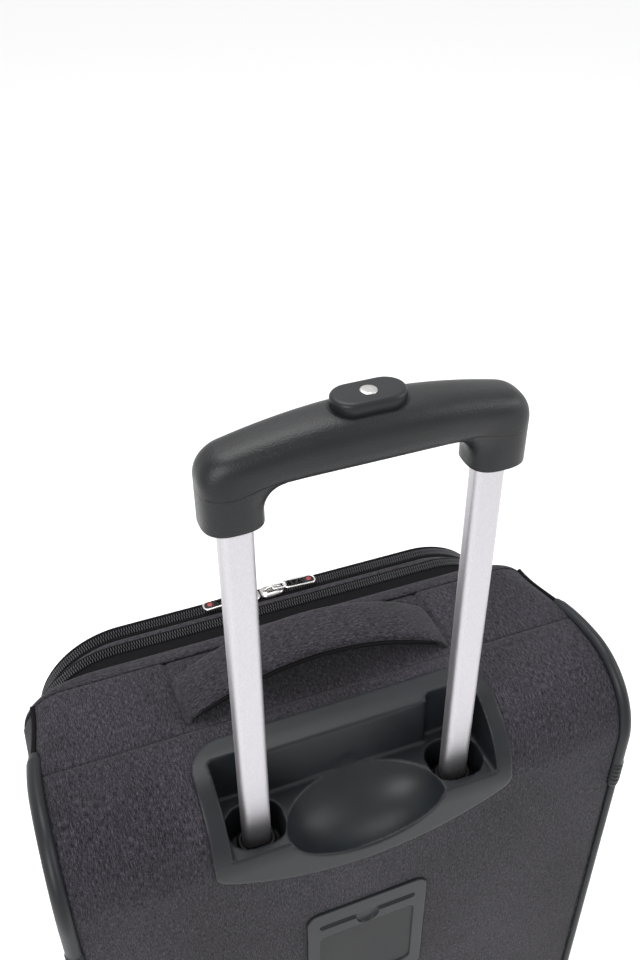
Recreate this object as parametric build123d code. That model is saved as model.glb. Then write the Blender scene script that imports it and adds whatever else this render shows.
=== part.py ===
"""Softside upright suitcase: fabric case on two in-line wheels, with a two-stage telescopic handle.

Frame: +Z up, the front (lid and pockets) faces -Y, the back faces +Y, and the floor is Z = 0.
Every piece is written to parts/ as its own STEP file, in millimetres. The handle is drawn with its
inner stage pulled out and its middle stage pushed in.
"""
from build123d import *
import os

os.makedirs("parts", exist_ok=True)

# ---------------------------------------------------------------- driving sizes of the case
CASE_WIDTH = 376.0  # across the two side panels
CASE_HEIGHT = 537.0  # bottom panel to top panel
CASE_DEPTH = 140.0  # back face to the front flange
GROUND_CLEARANCE = 28.0  # floor to the bottom panel
WALL = 5.0  # fabric, foam and board together
BACK_Y = 102.0  # the back face
BACK_TOP_RADIUS = 50.0
BACK_BOTTOM_RADIUS = 24.0
FRONT_EDGE_RADIUS = 14.0
TOP_SEAM_SETBACK = 72.0  # back face to the seam across the top
GAP = 0.4  # between faces of pieces that part from each other

# ---------------------------------------------------------------- rim, zips and lid
RIM_INSET = 6.0  # rim and zips stand this far inside the case outline
RIM_CORNER_RADIUS = 70.0
REAR_TAPE_WIDTH = 22.0  # black tape and gusset edge behind the expansion teeth
FRONT_TAPE_WIDTH = 5.0
RIM_BAND_WIDTH = 6.0
RIM_BAND_THICKNESS = 3.0
LID_TAPE_WIDTH = 5.0
TAPE_THICKNESS = 1.2
TEETH_HALF_WIDTH = 3.6
TEETH_THICKNESS = 2.4
LID_THICKNESS = 4.0
RIM_PROUD = 1.6  # the band's piping above the tapes
SLIDER_LENGTH = 17.0
SLIDER_WIDTH = 11.0
SLIDER_THICKNESS = 1.6
SLIDER_GAP = 0.4
PULL_LENGTH = 31.0
PULL_WIDTH = 9.0
PULL_THICKNESS = 1.8
PULL_EYE_RADIUS = 2.0
PULL_PIN_RADIUS = 0.9
PIN_CLEARANCE = 0.08
MAIN_SLIDERS_MEET_X = 10.0
EXPANSION_SLIDER_RISE = 96.0  # bottom panel to the expansion slider

# ---------------------------------------------------------------- front pockets
POCKET_CORNER_RADIUS = 26.0
UPPER_POCKET_WIDTH = 296.0
UPPER_POCKET_HEIGHT = 150.0
UPPER_POCKET_DEPTH = 13.0
LOWER_POCKET_WIDTH = 312.0
LOWER_POCKET_DEPTH = 18.0
POCKET_MARGIN = 32.0  # lid edge to pocket, at the top and at the bottom
POCKET_GAP = 49.0  # lower pocket to upper pocket
POCKET_ZIP_DROP = 20.0  # pocket's top edge to its zip
POCKET_EDGE_RADIUS = 8.0
PIN_X = -3.0  # slider's middle to its pin
LUG_Y = 2.6
LUG_THICKNESS = 1.2
LUG_HALF_LENGTH = 1.8

# ---------------------------------------------------------------- trolley handle
TUBE_SPACING = 135.0
TUBE_SETBACK = 19.5  # back face to the tube axes
INNER_TUBE = (17.6, 11.5)  # X and Y size
TUBE_WALL = 1.2
TUBE_RADIUS = 4.2  # outer corner radius of the inner tube
STAGE_STEP = 1.8  # gap and wall from one tube to the next, each side
INNER_TRAVEL = 252.0
TUBE_OVERLAP = 45.0  # what stays inside at full travel
GLIDE_HEIGHT = 20.0
SLIDE_CLEARANCE = 0.08
COLLAR_HEIGHT = 10.0
OUTER_TUBE_PROUD = 3.0  # above the bottom of the leg pocket
PUSH_ROD_RADIUS = 1.5
BASE_HEIGHT = 30.0
BASE_RISE = 17.0  # bottom panel to the trolley's base

# ---------------------------------------------------------------- grip and its button
GRIP_HALF_WIDTH = 84.5
GRIP_LEG_WIDTH = 31.0
GRIP_LEG_DROP = 17.0  # leg bottom to the bar's underside, at mid-span
GRIP_HEIGHT = 50.0  # leg bottom to the bar's top, at mid-span
GRIP_BOW = 8.0  # how far the bar's edges bow over their length
GRIP_HALF_DEPTH = 15.0
GRIP_OUTER_RADIUS = 20.0
GRIP_INNER_RADIUS = 10.5
GRIP_EDGE_RADIUS = 11.0
GRIP_PARTING = 24.5  # leg bottom to the parting plane
BUTTON_LENGTH = 37.0
BUTTON_WIDTH = 19.0
BUTTON_PROUD = 5.0
BUTTON_TRAVEL = 4.0
BUTTON_CLEARANCE = 0.15
BUTTON_FLANGE = 2.0
GRIP_CROWN_WALL = 8.0  # bar's top to the button's flange, at mid-span
YOKE_SIZE = (6.0, 5.0)  # Y and Z
SPRING_RADIUS = 3.5
SPRING_WIRE_RADIUS = 0.4
SPRING_TURNS = 4
SOCKET_DEPTH = 20.0  # leg bottom to the inner tube's upper end

# ---------------------------------------------------------------- handle well
WELL_FLOOR_DROP = 37.0  # top panel to the well's floor
WELL_HALF_WIDTH = 88.0
WELL_WALL = 3.0
WELL_FRONT_REACH = 19.0  # tube axis to the front wall
WELL_RECESS_REACH = 25.0  # the same beside the tubes
WELL_RECESS_START = 56.0  # half-width of the plain front wall
BEZEL_HALF_WIDTH = 100.0
BEZEL_THICKNESS = 3.0
BEZEL_FRONT_REACH = 40.0  # tube axis to the bezel's front edge
BEZEL_CORNER_RADIUS = 24.0
APRON_DROP = 41.0  # floor to the apron's lowest point
APRON_SIDE_DROP = 14.0  # floor to the apron's edge at its sides
APRON_CORNER_RADIUS = 13.0
LEG_POCKET = (35.0, 31.0)
LEG_POCKET_RADIUS = 12.0
LEG_POCKET_DEPTH = 27.0
SCOOP_HALF_WIDTH = 52.3
SCOOP_RADIUS = 35.5
SCOOP_SETBACK = 3.5  # back face to the scoop's axis
SCOOP_RISE = 7.0  # the scoop's axis above the floor

# ---------------------------------------------------------------- wheels, feet and trim
WHEEL_RADIUS = 32.0
WHEEL_WIDTH = 24.0
TYRE_THICKNESS = 8.0
HUB_RIM_WALL = 3.0
HUB_BOSS_WALL = 2.5
HUB_WEB_HALF = 4.0
BEARING_OUTER_RADIUS = 11.0
BEARING_WIDTH = 7.0
AXLE_RADIUS = 4.0
WHEEL_INSET = 23.0  # side panel to the wheel's mid-plane
WHEEL_SETBACK = 22.0  # back face to the axle
WHEEL_CLEARANCE = 3.0
HOUSING_SIZE = (46.0, 68.0, 46.0)  # X, Y and the height that it reaches into the case
HOUSING_DROP = 16.0  # how far it hangs below the bottom panel
HOUSING_PROUD = 3.0
HOUSING_EDGE_RADIUS = 6.0
SCREW_RADIUS = 1.6
SCREW_HEAD_RADIUS = 3.6
FOOT_SIZE = (48.0, 32.0)
FOOT_INSET = 50.0  # side panel to the foot's mid-line
PIPING_RADIUS = 3.2
GUARD_THICKNESS = 3.2
GUARD_FRONT_SETBACK = 91.0  # back face to the guard's front end
GUARD_DROP = 96.0  # top panel to the guard's lower end
CARRY_HANDLE_LENGTH = 182.0
CARRY_HANDLE_WIDTH = 39.0
CARRY_HANDLE_RISE = 34.0
CARRY_HANDLE_THICKNESS = 9.0
CARRY_HANDLE_FOOT = 14.0  # sewn-down end
CARRY_HANDLE_SETBACK = 97.0  # back face to its mid-line
SIDE_HANDLE_LENGTH = 170.0
SIDE_HANDLE_WIDTH = 32.0
SIDE_HANDLE_RISE = 13.0
SIDE_HANDLE_THICKNESS = 4.0
ID_FRAME = (87.0, 112.0, 3.0)
ID_FRAME_DROP = 125.0  # top panel to its top edge
BACK_BOARD_THICKNESS = 3.0

# ---------------------------------------------------------------- places worked out from the sizes
HALF_WIDTH = CASE_WIDTH / 2
BOTTOM_Z = GROUND_CLEARANCE
TOP_Z = BOTTOM_Z + CASE_HEIGHT
MID_Z = (TOP_Z + BOTTOM_Z) / 2
FLANGE_Y = BACK_Y - CASE_DEPTH
TOP_SEAM_Y = BACK_Y - TOP_SEAM_SETBACK
EXPANSION_ZIP_Y = FLANGE_Y - REAR_TAPE_WIDTH
RIM_REAR_Y = EXPANSION_ZIP_Y - FRONT_TAPE_WIDTH
RIM_FRONT_Y = RIM_REAR_Y - RIM_BAND_WIDTH
MAIN_ZIP_Y = RIM_FRONT_Y - FRONT_TAPE_WIDTH
LID_REAR_Y = MAIN_ZIP_Y - LID_TAPE_WIDTH
LID_FRONT_Y = LID_REAR_Y - LID_THICKNESS
TUBE_Y = BACK_Y - TUBE_SETBACK
TUBE_XS = (-TUBE_SPACING / 2, TUBE_SPACING / 2)
MIDDLE_TUBE = tuple(side + 2 * STAGE_STEP for side in INNER_TUBE)
OUTER_TUBE = tuple(side + 2 * STAGE_STEP for side in MIDDLE_TUBE)
MIDDLE_RADIUS = TUBE_RADIUS + STAGE_STEP
OUTER_RADIUS = MIDDLE_RADIUS + STAGE_STEP
FLOOR_Z = TOP_Z - WELL_FLOOR_DROP
TEETH_PROUD = (TEETH_THICKNESS - TAPE_THICKNESS) / 2
RIM_TOP_Z = TOP_Z - RIM_INSET
RIM_SIDE_X = HALF_WIDTH - RIM_INSET
POCKET_Z = FLOOR_Z - LEG_POCKET_DEPTH
OUTER_TOP_Z = POCKET_Z + OUTER_TUBE_PROUD
COLLAR_TOP_Z = OUTER_TOP_Z + COLLAR_HEIGHT
MIDDLE_BOTTOM_Z = COLLAR_TOP_Z - INNER_TRAVEL - 2 * TUBE_OVERLAP
LEG_Z = COLLAR_TOP_Z + GAP + INNER_TRAVEL
INNER_BOTTOM_Z = COLLAR_TOP_Z - TUBE_OVERLAP
GRIP_TOP_Z = LEG_Z + GRIP_HEIGHT
PARTING_Z = LEG_Z + GRIP_PARTING
FLANGE_TOP_Z = GRIP_TOP_Z - GRIP_CROWN_WALL
YOKE_TOP_Z = FLANGE_TOP_Z - BUTTON_FLANGE
YOKE_Z = YOKE_TOP_Z - YOKE_SIZE[1]
BASE_Z = BOTTOM_Z + BASE_RISE
WHEEL_X = HALF_WIDTH - WHEEL_INSET
WHEEL_Y = BACK_Y - WHEEL_SETBACK
AXLE_SPAN = (WHEEL_X - WHEEL_WIDTH / 2 - 6.0, WHEEL_X + WHEEL_WIDTH / 2 + 6.0)
PIN_HEIGHT = SLIDER_GAP + SLIDER_THICKNESS + PULL_EYE_RADIUS + 0.2
UPPER_POCKET_TOP_Z = RIM_TOP_Z - POCKET_MARGIN
LOWER_POCKET_TOP_Z = UPPER_POCKET_TOP_Z - UPPER_POCKET_HEIGHT - POCKET_GAP
LOWER_POCKET_HEIGHT = LOWER_POCKET_TOP_Z - BOTTOM_Z - RIM_INSET - POCKET_MARGIN
POCKETS = (
    ("upper", UPPER_POCKET_WIDTH, UPPER_POCKET_HEIGHT, UPPER_POCKET_DEPTH, UPPER_POCKET_TOP_Z),
    ("lower", LOWER_POCKET_WIDTH, LOWER_POCKET_HEIGHT, LOWER_POCKET_DEPTH, LOWER_POCKET_TOP_Z),
)
FAR = 1000.0  # larger than any cut


# ---------------------------------------------------------------- small helpers
def block(x0, x1, y0, y1, z0, z1):
    """A box between two corners."""
    return Pos((x0 + x1) / 2, (y0 + y1) / 2, (z0 + z1) / 2) * Box(x1 - x0, y1 - y0, z1 - z0)


def post(size, radius, x, y, z0, z1):
    """An upright bar with a rounded oblong section."""
    return Pos(x, y, z0) * extrude(RectangleRounded(size[0], size[1], radius), z1 - z0)


def hollow_post(size, radius, wall, x, y, z0, z1):
    """An upright tube with a rounded oblong section."""
    inside = (size[0] - 2 * wall, size[1] - 2 * wall)
    return post(size, radius, x, y, z0, z1) - post(inside, radius - wall, x, y, z0, z1)


def rod_x(radius, x0, x1, y, z):
    """A round bar along X."""
    return Pos((x0 + x1) / 2, y, z) * Rot(0, 90, 0) * Cylinder(radius, x1 - x0)


def screw(radius, length, head_radius, head_height):
    """A countersunk screw, pointing down from the origin, with a cross slot in its head."""
    head = Pos(0, 0, -head_height / 2) * Cylinder(head_radius, head_height)
    shank = Pos(0, 0, -head_height - length / 2) * Cylinder(radius, length)
    slot_length = head_radius * 1.2
    slot_width = head_radius * 0.22
    slot = Box(slot_length, slot_width, head_height) + Box(slot_width, slot_length, head_height)
    return head + shank - slot


def front_plane(y):
    """The upright plane at y that faces the front, centred on the case."""
    return Plane(origin=(0, y, MID_Z), x_dir=(1, 0, 0), z_dir=(0, -1, 0))


def rim_face(y, inset):
    """The rim's rounded outline at y, inset from the case outline."""
    return front_plane(y) * RectangleRounded(
        CASE_WIDTH - 2 * inset, CASE_HEIGHT - 2 * inset, RIM_CORNER_RADIUS - inset
    )


def rim_ring(y_rear, y_front, inset, thickness):
    """A band that follows the rim's outline, from y_rear to y_front."""
    return extrude(rim_face(y_rear, inset) - rim_face(y_rear, inset + thickness), y_rear - y_front)


def side_outline(grow):
    """The case seen from its side, grown outwards by grow, as a face in the YZ plane."""
    depth = CASE_DEPTH + 2 * grow
    height = CASE_HEIGHT + 2 * grow
    face = Rectangle(depth, height)
    front, back = face.vertices().group_by(Axis.X)[0], face.vertices().group_by(Axis.X)[-1]
    back_top = back.sort_by(Axis.Y)[-1:]
    back_bottom = back.sort_by(Axis.Y)[:1]
    face = fillet(back_top, BACK_TOP_RADIUS + grow)
    face = fillet(face.vertices().filter_by(lambda v: near(v, back_bottom[0])), BACK_BOTTOM_RADIUS + grow)
    for corner in front:
        found = face.vertices().filter_by(lambda v, c=corner: near(v, c))
        face = fillet(found, FRONT_EDGE_RADIUS + grow)
    return Plane.YZ * Pos(BACK_Y - CASE_DEPTH / 2, MID_Z) * face


def near(a, b):
    """True if two vertices are in the same place."""
    return (Vector(a) - Vector(b)).length < 1e-6


def case_solid(grow, half_width):
    """The case's outer form grown by grow, as one solid across its width."""
    return extrude(side_outline(grow), half_width, both=True)


def both_sides(right):
    """One node that holds a piece and its mirror image as two separate solids."""
    return Compound(children=[right, mirror(right, Plane.YZ)])


def save(name, shape):
    """Write one node."""
    export_step(shape, f"parts/{name}.step")


# ---------------------------------------------------------------- the fabric case
def wheel_bay(clearance):
    """The space at the right back bottom corner that the wheel housing fills."""
    width, depth, height = HOUSING_SIZE
    x_out = HALF_WIDTH + FAR
    x_in = HALF_WIDTH + HOUSING_PROUD - width - clearance
    y_in = BACK_Y + HOUSING_PROUD - depth - clearance
    return block(x_in, x_out, y_in, FAR, -FAR, BOTTOM_Z + height + clearance)


def both_bays(clearance):
    """The wheel bays of both sides."""
    right = wheel_bay(clearance)
    return right + mirror(right, Plane.YZ)


def well_bay(clearance):
    """The space in the top back edge that the handle well's tray fills."""
    half = WELL_HALF_WIDTH + WELL_WALL + clearance
    y0 = TUBE_Y - WELL_RECESS_REACH - WELL_WALL - clearance
    return block(-half, half, y0, FAR, FLOOR_Z - WELL_WALL - clearance, FAR)


def leg_pockets(grow, top_z):
    """The space of both leg pockets, grown all round, up to top_z."""
    size = (LEG_POCKET[0] + 2 * grow, LEG_POCKET[1] + 2 * grow)
    left, right = [post(size, LEG_POCKET_RADIUS + grow, x, TUBE_Y, POCKET_Z - grow, top_z) for x in TUBE_XS]
    return left + right


def scoop_bay(clearance):
    """The space in the back face that the handle well's finger scoop fills."""
    return scoop(WELL_WALL + clearance)


def side_panel():
    """The right side panel, one flat fabric-covered sheet."""
    sheet = extrude(Pos(HALF_WIDTH - WALL, 0, 0) * side_outline(0), WALL, dir=(1, 0, 0))
    return sheet - wheel_bay(GAP)


def case_wrap():
    """The wall that runs round the case between the two side panels, open at the front."""
    inner_half = HALF_WIDTH - WALL
    wrap = case_solid(0, inner_half) - case_solid(-WALL, inner_half)
    wrap -= extrude(rim_face(FLANGE_Y - WALL, RIM_INSET + RIM_BAND_THICKNESS), -4 * WALL)
    wrap -= leg_pockets(WELL_WALL + GAP, TOP_Z)
    return wrap - both_bays(GAP) - well_bay(GAP) - scoop_bay(GAP)


def front_flange_zone():
    """Everything in front of the flange's seam."""
    return block(-FAR, FAR, -FAR, FLANGE_Y + FRONT_EDGE_RADIUS, -FAR, FAR)


def top_panel(wrap):
    """Top panel, from the flange's seam back to the seam across the top."""
    return wrap & block(-FAR, FAR, FLANGE_Y + FRONT_EDGE_RADIUS, TOP_SEAM_Y, MID_Z, FAR)


def bottom_panel(wrap):
    """Bottom panel, up to where the back's lower corner starts."""
    y1 = BACK_Y - BACK_BOTTOM_RADIUS
    return wrap & block(-FAR, FAR, FLANGE_Y + FRONT_EDGE_RADIUS, y1, -FAR, MID_Z)


def back_panel(wrap):
    """Back panel, from the seam across the top, round the top corner and down the back."""
    upper = block(-FAR, FAR, TOP_SEAM_Y, FAR, MID_Z, FAR)
    lower = block(-FAR, FAR, BACK_Y - BACK_BOTTOM_RADIUS, FAR, -FAR, MID_Z)
    return wrap & (upper + lower)


def side_piping():
    """Covered wire piping round the right side panel's outline."""
    path = Pos(HALF_WIDTH, 0, 0) * side_outline(0).face().outer_wire()
    section = Plane(origin=path @ 0, z_dir=path % 0) * Circle(PIPING_RADIUS)
    ring = sweep(section, path)
    return ring - case_solid(0, HALF_WIDTH) - wheel_bay(GAP)


def corner_guard():
    """Moulded sleeve over the right piping, round the top back corner."""
    outer = case_solid(PIPING_RADIUS + GUARD_THICKNESS, HALF_WIDTH + PIPING_RADIUS + GUARD_THICKNESS)
    outer = chamfer(outer.faces().sort_by(Axis.X)[-1].outer_wire().edges(), GUARD_THICKNESS)
    inside = case_solid(PIPING_RADIUS, HALF_WIDTH + PIPING_RADIUS)
    reach = PIPING_RADIUS + GUARD_THICKNESS
    sleeve = (outer - inside) & block(HALF_WIDTH - reach, FAR, -FAR, FAR, -FAR, FAR)
    sleeve -= case_solid(-reach, FAR)
    sleeve &= block(-FAR, FAR, BACK_Y - GUARD_FRONT_SETBACK, FAR, TOP_Z - GUARD_DROP, FAR)
    return sleeve


def back_board():
    """Stiffening board inside the back wall, which the trolley is fixed to."""
    half = HALF_WIDTH - WALL - HOUSING_SIZE[0] - GAP
    y1 = BACK_Y - WALL
    z0 = BOTTOM_Z + WALL + BACK_BOTTOM_RADIUS
    z1 = FLOOR_Z + SCOOP_RISE - SCOOP_RADIUS - 2 * WELL_WALL
    return block(-half, half, y1 - BACK_BOARD_THICKNESS, y1, z0, z1)


def back_lining():
    """Lining sheet between the compartment and the trolley, stepping forward under the well."""
    thick = 2.0
    y0 = TUBE_Y - OUTER_TUBE[1] / 2 - thick - 1.0
    y1 = TUBE_Y - BEZEL_FRONT_REACH - thick
    z0 = BOTTOM_Z + WALL
    z1 = FLOOR_Z - LEG_POCKET_DEPTH - 2 * WELL_WALL - thick
    z2 = TOP_Z - WALL
    half = HALF_WIDTH - WALL
    sheet = block(-half, half, y0, y0 + thick, z0, z1 + thick)
    sheet += block(-half, half, y1, y0 + thick, z1, z1 + thick)
    sheet += block(-half, half, y1, y1 + thick, z1, z2)
    return sheet - both_bays(GAP)


# ---------------------------------------------------------------- handles and labels on the fabric
def strap_arch(length, width, rise, thickness, foot):
    """A strap along X that arches between two sewn-down ends, thickest at its ends."""
    half = length / 2
    inner = half - foot
    top = ThreePointArc((-half, thickness / 2), (0, rise), (half, thickness / 2))
    under = ThreePointArc((inner, 0), (0, rise - thickness), (-inner, 0))
    right = Polyline((half, thickness / 2), (half, 0), (inner, 0))
    left = Polyline((-inner, 0), (-half, 0), (-half, thickness / 2))
    face = make_face(top.edges() + right.edges() + under.edges() + left.edges())
    return Plane.XZ * Pos(0, 0, -width / 2) * extrude(face, width)


def carry_handle():
    """Padded carry handle on the top panel."""
    size = (CARRY_HANDLE_LENGTH, CARRY_HANDLE_WIDTH, CARRY_HANDLE_RISE, CARRY_HANDLE_THICKNESS)
    arch = strap_arch(*size, CARRY_HANDLE_FOOT)
    return Pos(0, BACK_Y - CARRY_HANDLE_SETBACK, TOP_Z) * arch


def side_handle():
    """Flat carry handle on the left side panel."""
    arch = strap_arch(SIDE_HANDLE_LENGTH, SIDE_HANDLE_WIDTH, SIDE_HANDLE_RISE, SIDE_HANDLE_THICKNESS, 20.0)
    upright = Rot(0, -90, 0) * arch
    return Pos(-HALF_WIDTH, BACK_Y - CASE_DEPTH / 2, MID_Z) * upright


def id_frame():
    """Stitched frame on the back, with a window, a slot for a card and a thumb notch."""
    width, height, thick = ID_FRAME
    plate = extrude(RectangleRounded(width, height, 9.0), thick)
    window_height = height * 0.62
    window = Pos(0, -height * 0.06, 0) * extrude(RectangleRounded(width - 18, window_height, 5.0), 2 * thick)
    slot = Pos(0, height / 2 - 16.0, 0) * extrude(RectangleRounded(width - 18, 5.0, 2.0), 2 * thick)
    notch = Pos(0, height / 2 - 19.5, 0) * extrude(Circle(8.0), 2 * thick)
    plate -= Pos(0, 0, 1.2) * (window + slot + notch)
    centre = Plane(origin=(0, BACK_Y, TOP_Z - ID_FRAME_DROP - height / 2), x_dir=(-1, 0, 0), z_dir=(0, 1, 0))
    return centre * plate


def id_card():
    """Blank card behind the frame's window."""
    width, height, thick = ID_FRAME
    card = Pos(0, -height * 0.06, 1.2) * extrude(RectangleRounded(width - 18, height * 0.62, 5.0), 0.8)
    centre = Plane(origin=(0, BACK_Y, TOP_Z - ID_FRAME_DROP - height / 2), x_dir=(-1, 0, 0), z_dir=(0, 1, 0))
    return centre * card


def apron_outline():
    """The well's outline on the back face, in X and Z, from the floor down to its curved edge."""
    half = BEZEL_HALF_WIDTH
    side = FLOOR_Z - APRON_SIDE_DROP
    low = FLOOR_Z - APRON_DROP
    bottom = ThreePointArc((-half, side), (0, low), (half, side))
    rest = Polyline((half, side), (half, TOP_Z + FAR), (-half, TOP_Z + FAR), (-half, side))
    face = make_face(bottom.edges() + rest.edges())
    corners = face.vertices().group_by(Axis.Y)[0]
    return fillet(corners, APRON_CORNER_RADIUS)


def bezel():
    """Shell that lies on the top and back faces round the well."""
    skin = case_solid(BEZEL_THICKNESS, BEZEL_HALF_WIDTH) - case_solid(0, BEZEL_HALF_WIDTH)
    skin &= block(-FAR, FAR, TUBE_Y - BEZEL_FRONT_REACH, FAR, 0, FAR)
    skin &= Plane.XZ * Pos(0, 0, -FAR) * extrude(apron_outline(), 2 * FAR)
    plan = Pos(0, TUBE_Y - BEZEL_FRONT_REACH + FAR / 2, 0) * RectangleRounded(
        2 * BEZEL_HALF_WIDTH, FAR, BEZEL_CORNER_RADIUS
    )
    return skin & extrude(plan, FAR)


def well_inside():
    """The space inside the well's tray."""
    z0, z1 = FLOOR_Z, TOP_Z + FAR
    plain = block(-WELL_HALF_WIDTH, WELL_HALF_WIDTH, TUBE_Y - WELL_FRONT_REACH, FAR, z0, z1)
    recess_width = WELL_HALF_WIDTH - WELL_RECESS_START
    for side in (-1, 1):
        x = side * (WELL_RECESS_START + recess_width / 2)
        plain += block(x - recess_width / 2, x + recess_width / 2, TUBE_Y - WELL_RECESS_REACH, FAR, z0, z1)
    upright = plain.edges().filter_by(Axis.Z)
    front = upright.filter_by(lambda e: e.center().Y < TUBE_Y)
    return fillet(front, 2.9)


def scoop(grow):
    """Finger scoop: an oval bowl that turns about a line across the well's back edge."""
    half = SCOOP_HALF_WIDTH + grow
    oval = Ellipse(half, SCOOP_RADIUS + grow) & Pos(0, FAR / 2) * Rectangle(2 * FAR, FAR)
    return Pos(0, BACK_Y - SCOOP_SETBACK, FLOOR_Z + SCOOP_RISE) * revolve(oval, Axis.X)


def handle_well():
    """Moulded tray in the top back edge, with its bezel, leg pockets and finger scoop."""
    half = WELL_HALF_WIDTH + WELL_WALL
    y0 = TUBE_Y - WELL_RECESS_REACH - WELL_WALL
    tray = block(-half, half, y0, FAR, FLOOR_Z - WELL_WALL, FAR) & case_solid(BEZEL_THICKNESS, half)
    bowl = scoop(WELL_WALL) & case_solid(BEZEL_THICKNESS, half) & block(-FAR, FAR, -FAR, FAR, 0, FLOOR_Z)
    well = tray + bezel() + bowl
    well += leg_pockets(WELL_WALL, FLOOR_Z)
    well &= case_solid(BEZEL_THICKNESS, FAR)
    well -= well_inside()
    well -= scoop(0)
    well -= leg_pockets(0, TOP_Z)
    for x in TUBE_XS:
        well -= post(OUTER_TUBE, OUTER_RADIUS, x, TUBE_Y, FLOOR_Z - FAR, FLOOR_Z)
    return well


# ---------------------------------------------------------------- rim, zips and lid
def zip_half(zip_y, side, tape_width, gap):
    """One tape of a zip round the rim with its row of teeth: side is 1 behind the zip, -1 before it."""
    edge = zip_y + side * gap
    proud = RIM_INSET - TEETH_PROUD
    shape = None
    bands = ((tape_width, RIM_INSET, TAPE_THICKNESS), (TEETH_HALF_WIDTH, proud, TEETH_THICKNESS))
    for width, inset, thick in bands:
        far = edge + side * width
        ring = rim_ring(max(edge, far), min(edge, far), inset, thick)
        shape = ring if shape is None else shape + ring
    return shape


def expansion_gusset():
    """Folded fabric ring inside the rear tape, which lets the front move out."""
    inset = RIM_INSET + TEETH_THICKNESS
    return rim_ring(FLANGE_Y, EXPANSION_ZIP_Y + TEETH_HALF_WIDTH, inset, 2.0)


def rim_band():
    """Stiff fabric-covered band between the two zips, with a piped edge standing proud."""
    band = rim_ring(RIM_REAR_Y, RIM_FRONT_Y, RIM_INSET, RIM_BAND_THICKNESS)
    return band + rim_ring(RIM_REAR_Y - 1.0, RIM_FRONT_Y + 1.0, RIM_INSET - RIM_PROUD, RIM_PROUD)


def lid_panel():
    """Padded lid panel."""
    return extrude(rim_face(LID_REAR_Y, RIM_INSET), LID_THICKNESS)


def pocket(width, height, depth, centre_z):
    """A flat zipped pocket on the lid, closed and empty."""
    face = RectangleRounded(width, height, POCKET_CORNER_RADIUS)
    body = extrude(face, depth)
    body = fillet(body.faces().sort_by(Axis.Z)[-1].outer_wire().edges(), POCKET_EDGE_RADIUS)
    return Plane(origin=(0, LID_FRONT_Y, centre_z), x_dir=(1, 0, 0), z_dir=(0, -1, 0)) * body


def pocket_zip(width, depth, top_z):
    """The closed zip across a pocket's front, with both rows of teeth."""
    length = width - 2 * POCKET_CORNER_RADIUS
    teeth_width = 2 * TEETH_HALF_WIDTH
    tape = extrude(RectangleRounded(length, 2 * teeth_width, 2.0), TAPE_THICKNESS)
    teeth = Pos(0, 0, TEETH_THICKNESS / 2) * Box(length - 8.0, teeth_width, TEETH_THICKNESS)
    centre = Plane(
        origin=(0, LID_FRONT_Y - depth, top_z - POCKET_ZIP_DROP), x_dir=(1, 0, 0), z_dir=(0, -1, 0)
    )
    return centre * (tape + teeth)


# A slider stands on a zip that runs along X, with its outer face up and its pull towards -X.
def zip_slider():
    """Slider: a plate over the teeth, a flange beside them and two lugs with the pull's pin."""
    z0 = SLIDER_GAP
    z1 = SLIDER_GAP + SLIDER_THICKNESS
    body = Pos(0, 0, z0) * extrude(RectangleRounded(SLIDER_LENGTH, SLIDER_WIDTH, 4.0), SLIDER_THICKNESS)
    half = SLIDER_LENGTH / 2 - 4.0
    body += block(-half, half, TEETH_HALF_WIDTH + SLIDER_GAP, SLIDER_WIDTH / 2, 0.0, z0)
    x0, x1 = PIN_X - LUG_HALF_LENGTH, PIN_X + LUG_HALF_LENGTH
    for y in (-LUG_Y - LUG_THICKNESS, LUG_Y):
        body += block(x0, x1, y, y + LUG_THICKNESS, z1, PIN_HEIGHT + 1.6)
    return body + Pos(PIN_X, 0, PIN_HEIGHT) * Rot(90, 0, 0) * Cylinder(PULL_PIN_RADIUS, 2 * LUG_Y)


def zip_pull():
    """Pull tab: an eye round the slider's pin and a flat blade, which slopes down to the zip."""
    eye_width = 2 * LUG_Y - 0.4
    blade = Pos(-PULL_LENGTH + PULL_WIDTH / 2, 0) * Circle(PULL_WIDTH / 2)
    blade += Pos(-PULL_LENGTH / 2 + PULL_WIDTH / 4, 0) * Rectangle(PULL_LENGTH - PULL_WIDTH * 1.5, eye_width)
    blade += Pos(-PULL_LENGTH * 0.62, 0) * Rectangle(PULL_LENGTH * 0.46, PULL_WIDTH)
    tab = Pos(0, 0, -PULL_THICKNESS / 2) * extrude(blade, PULL_THICKNESS)
    tab = Rot(0, -4, 0) * tab
    eye = Rot(90, 0, 0) * Cylinder(PULL_EYE_RADIUS, eye_width)
    arm = Rot(0, -4, 0) * Pos(-PULL_WIDTH / 2, 0, 0) * Box(PULL_WIDTH, eye_width, PULL_THICKNESS)
    hole = Rot(90, 0, 0) * Cylinder(PULL_PIN_RADIUS + PIN_CLEARANCE, PULL_WIDTH)
    return Pos(PIN_X, 0, PIN_HEIGHT) * (tab + eye + arm - hole)


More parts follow.
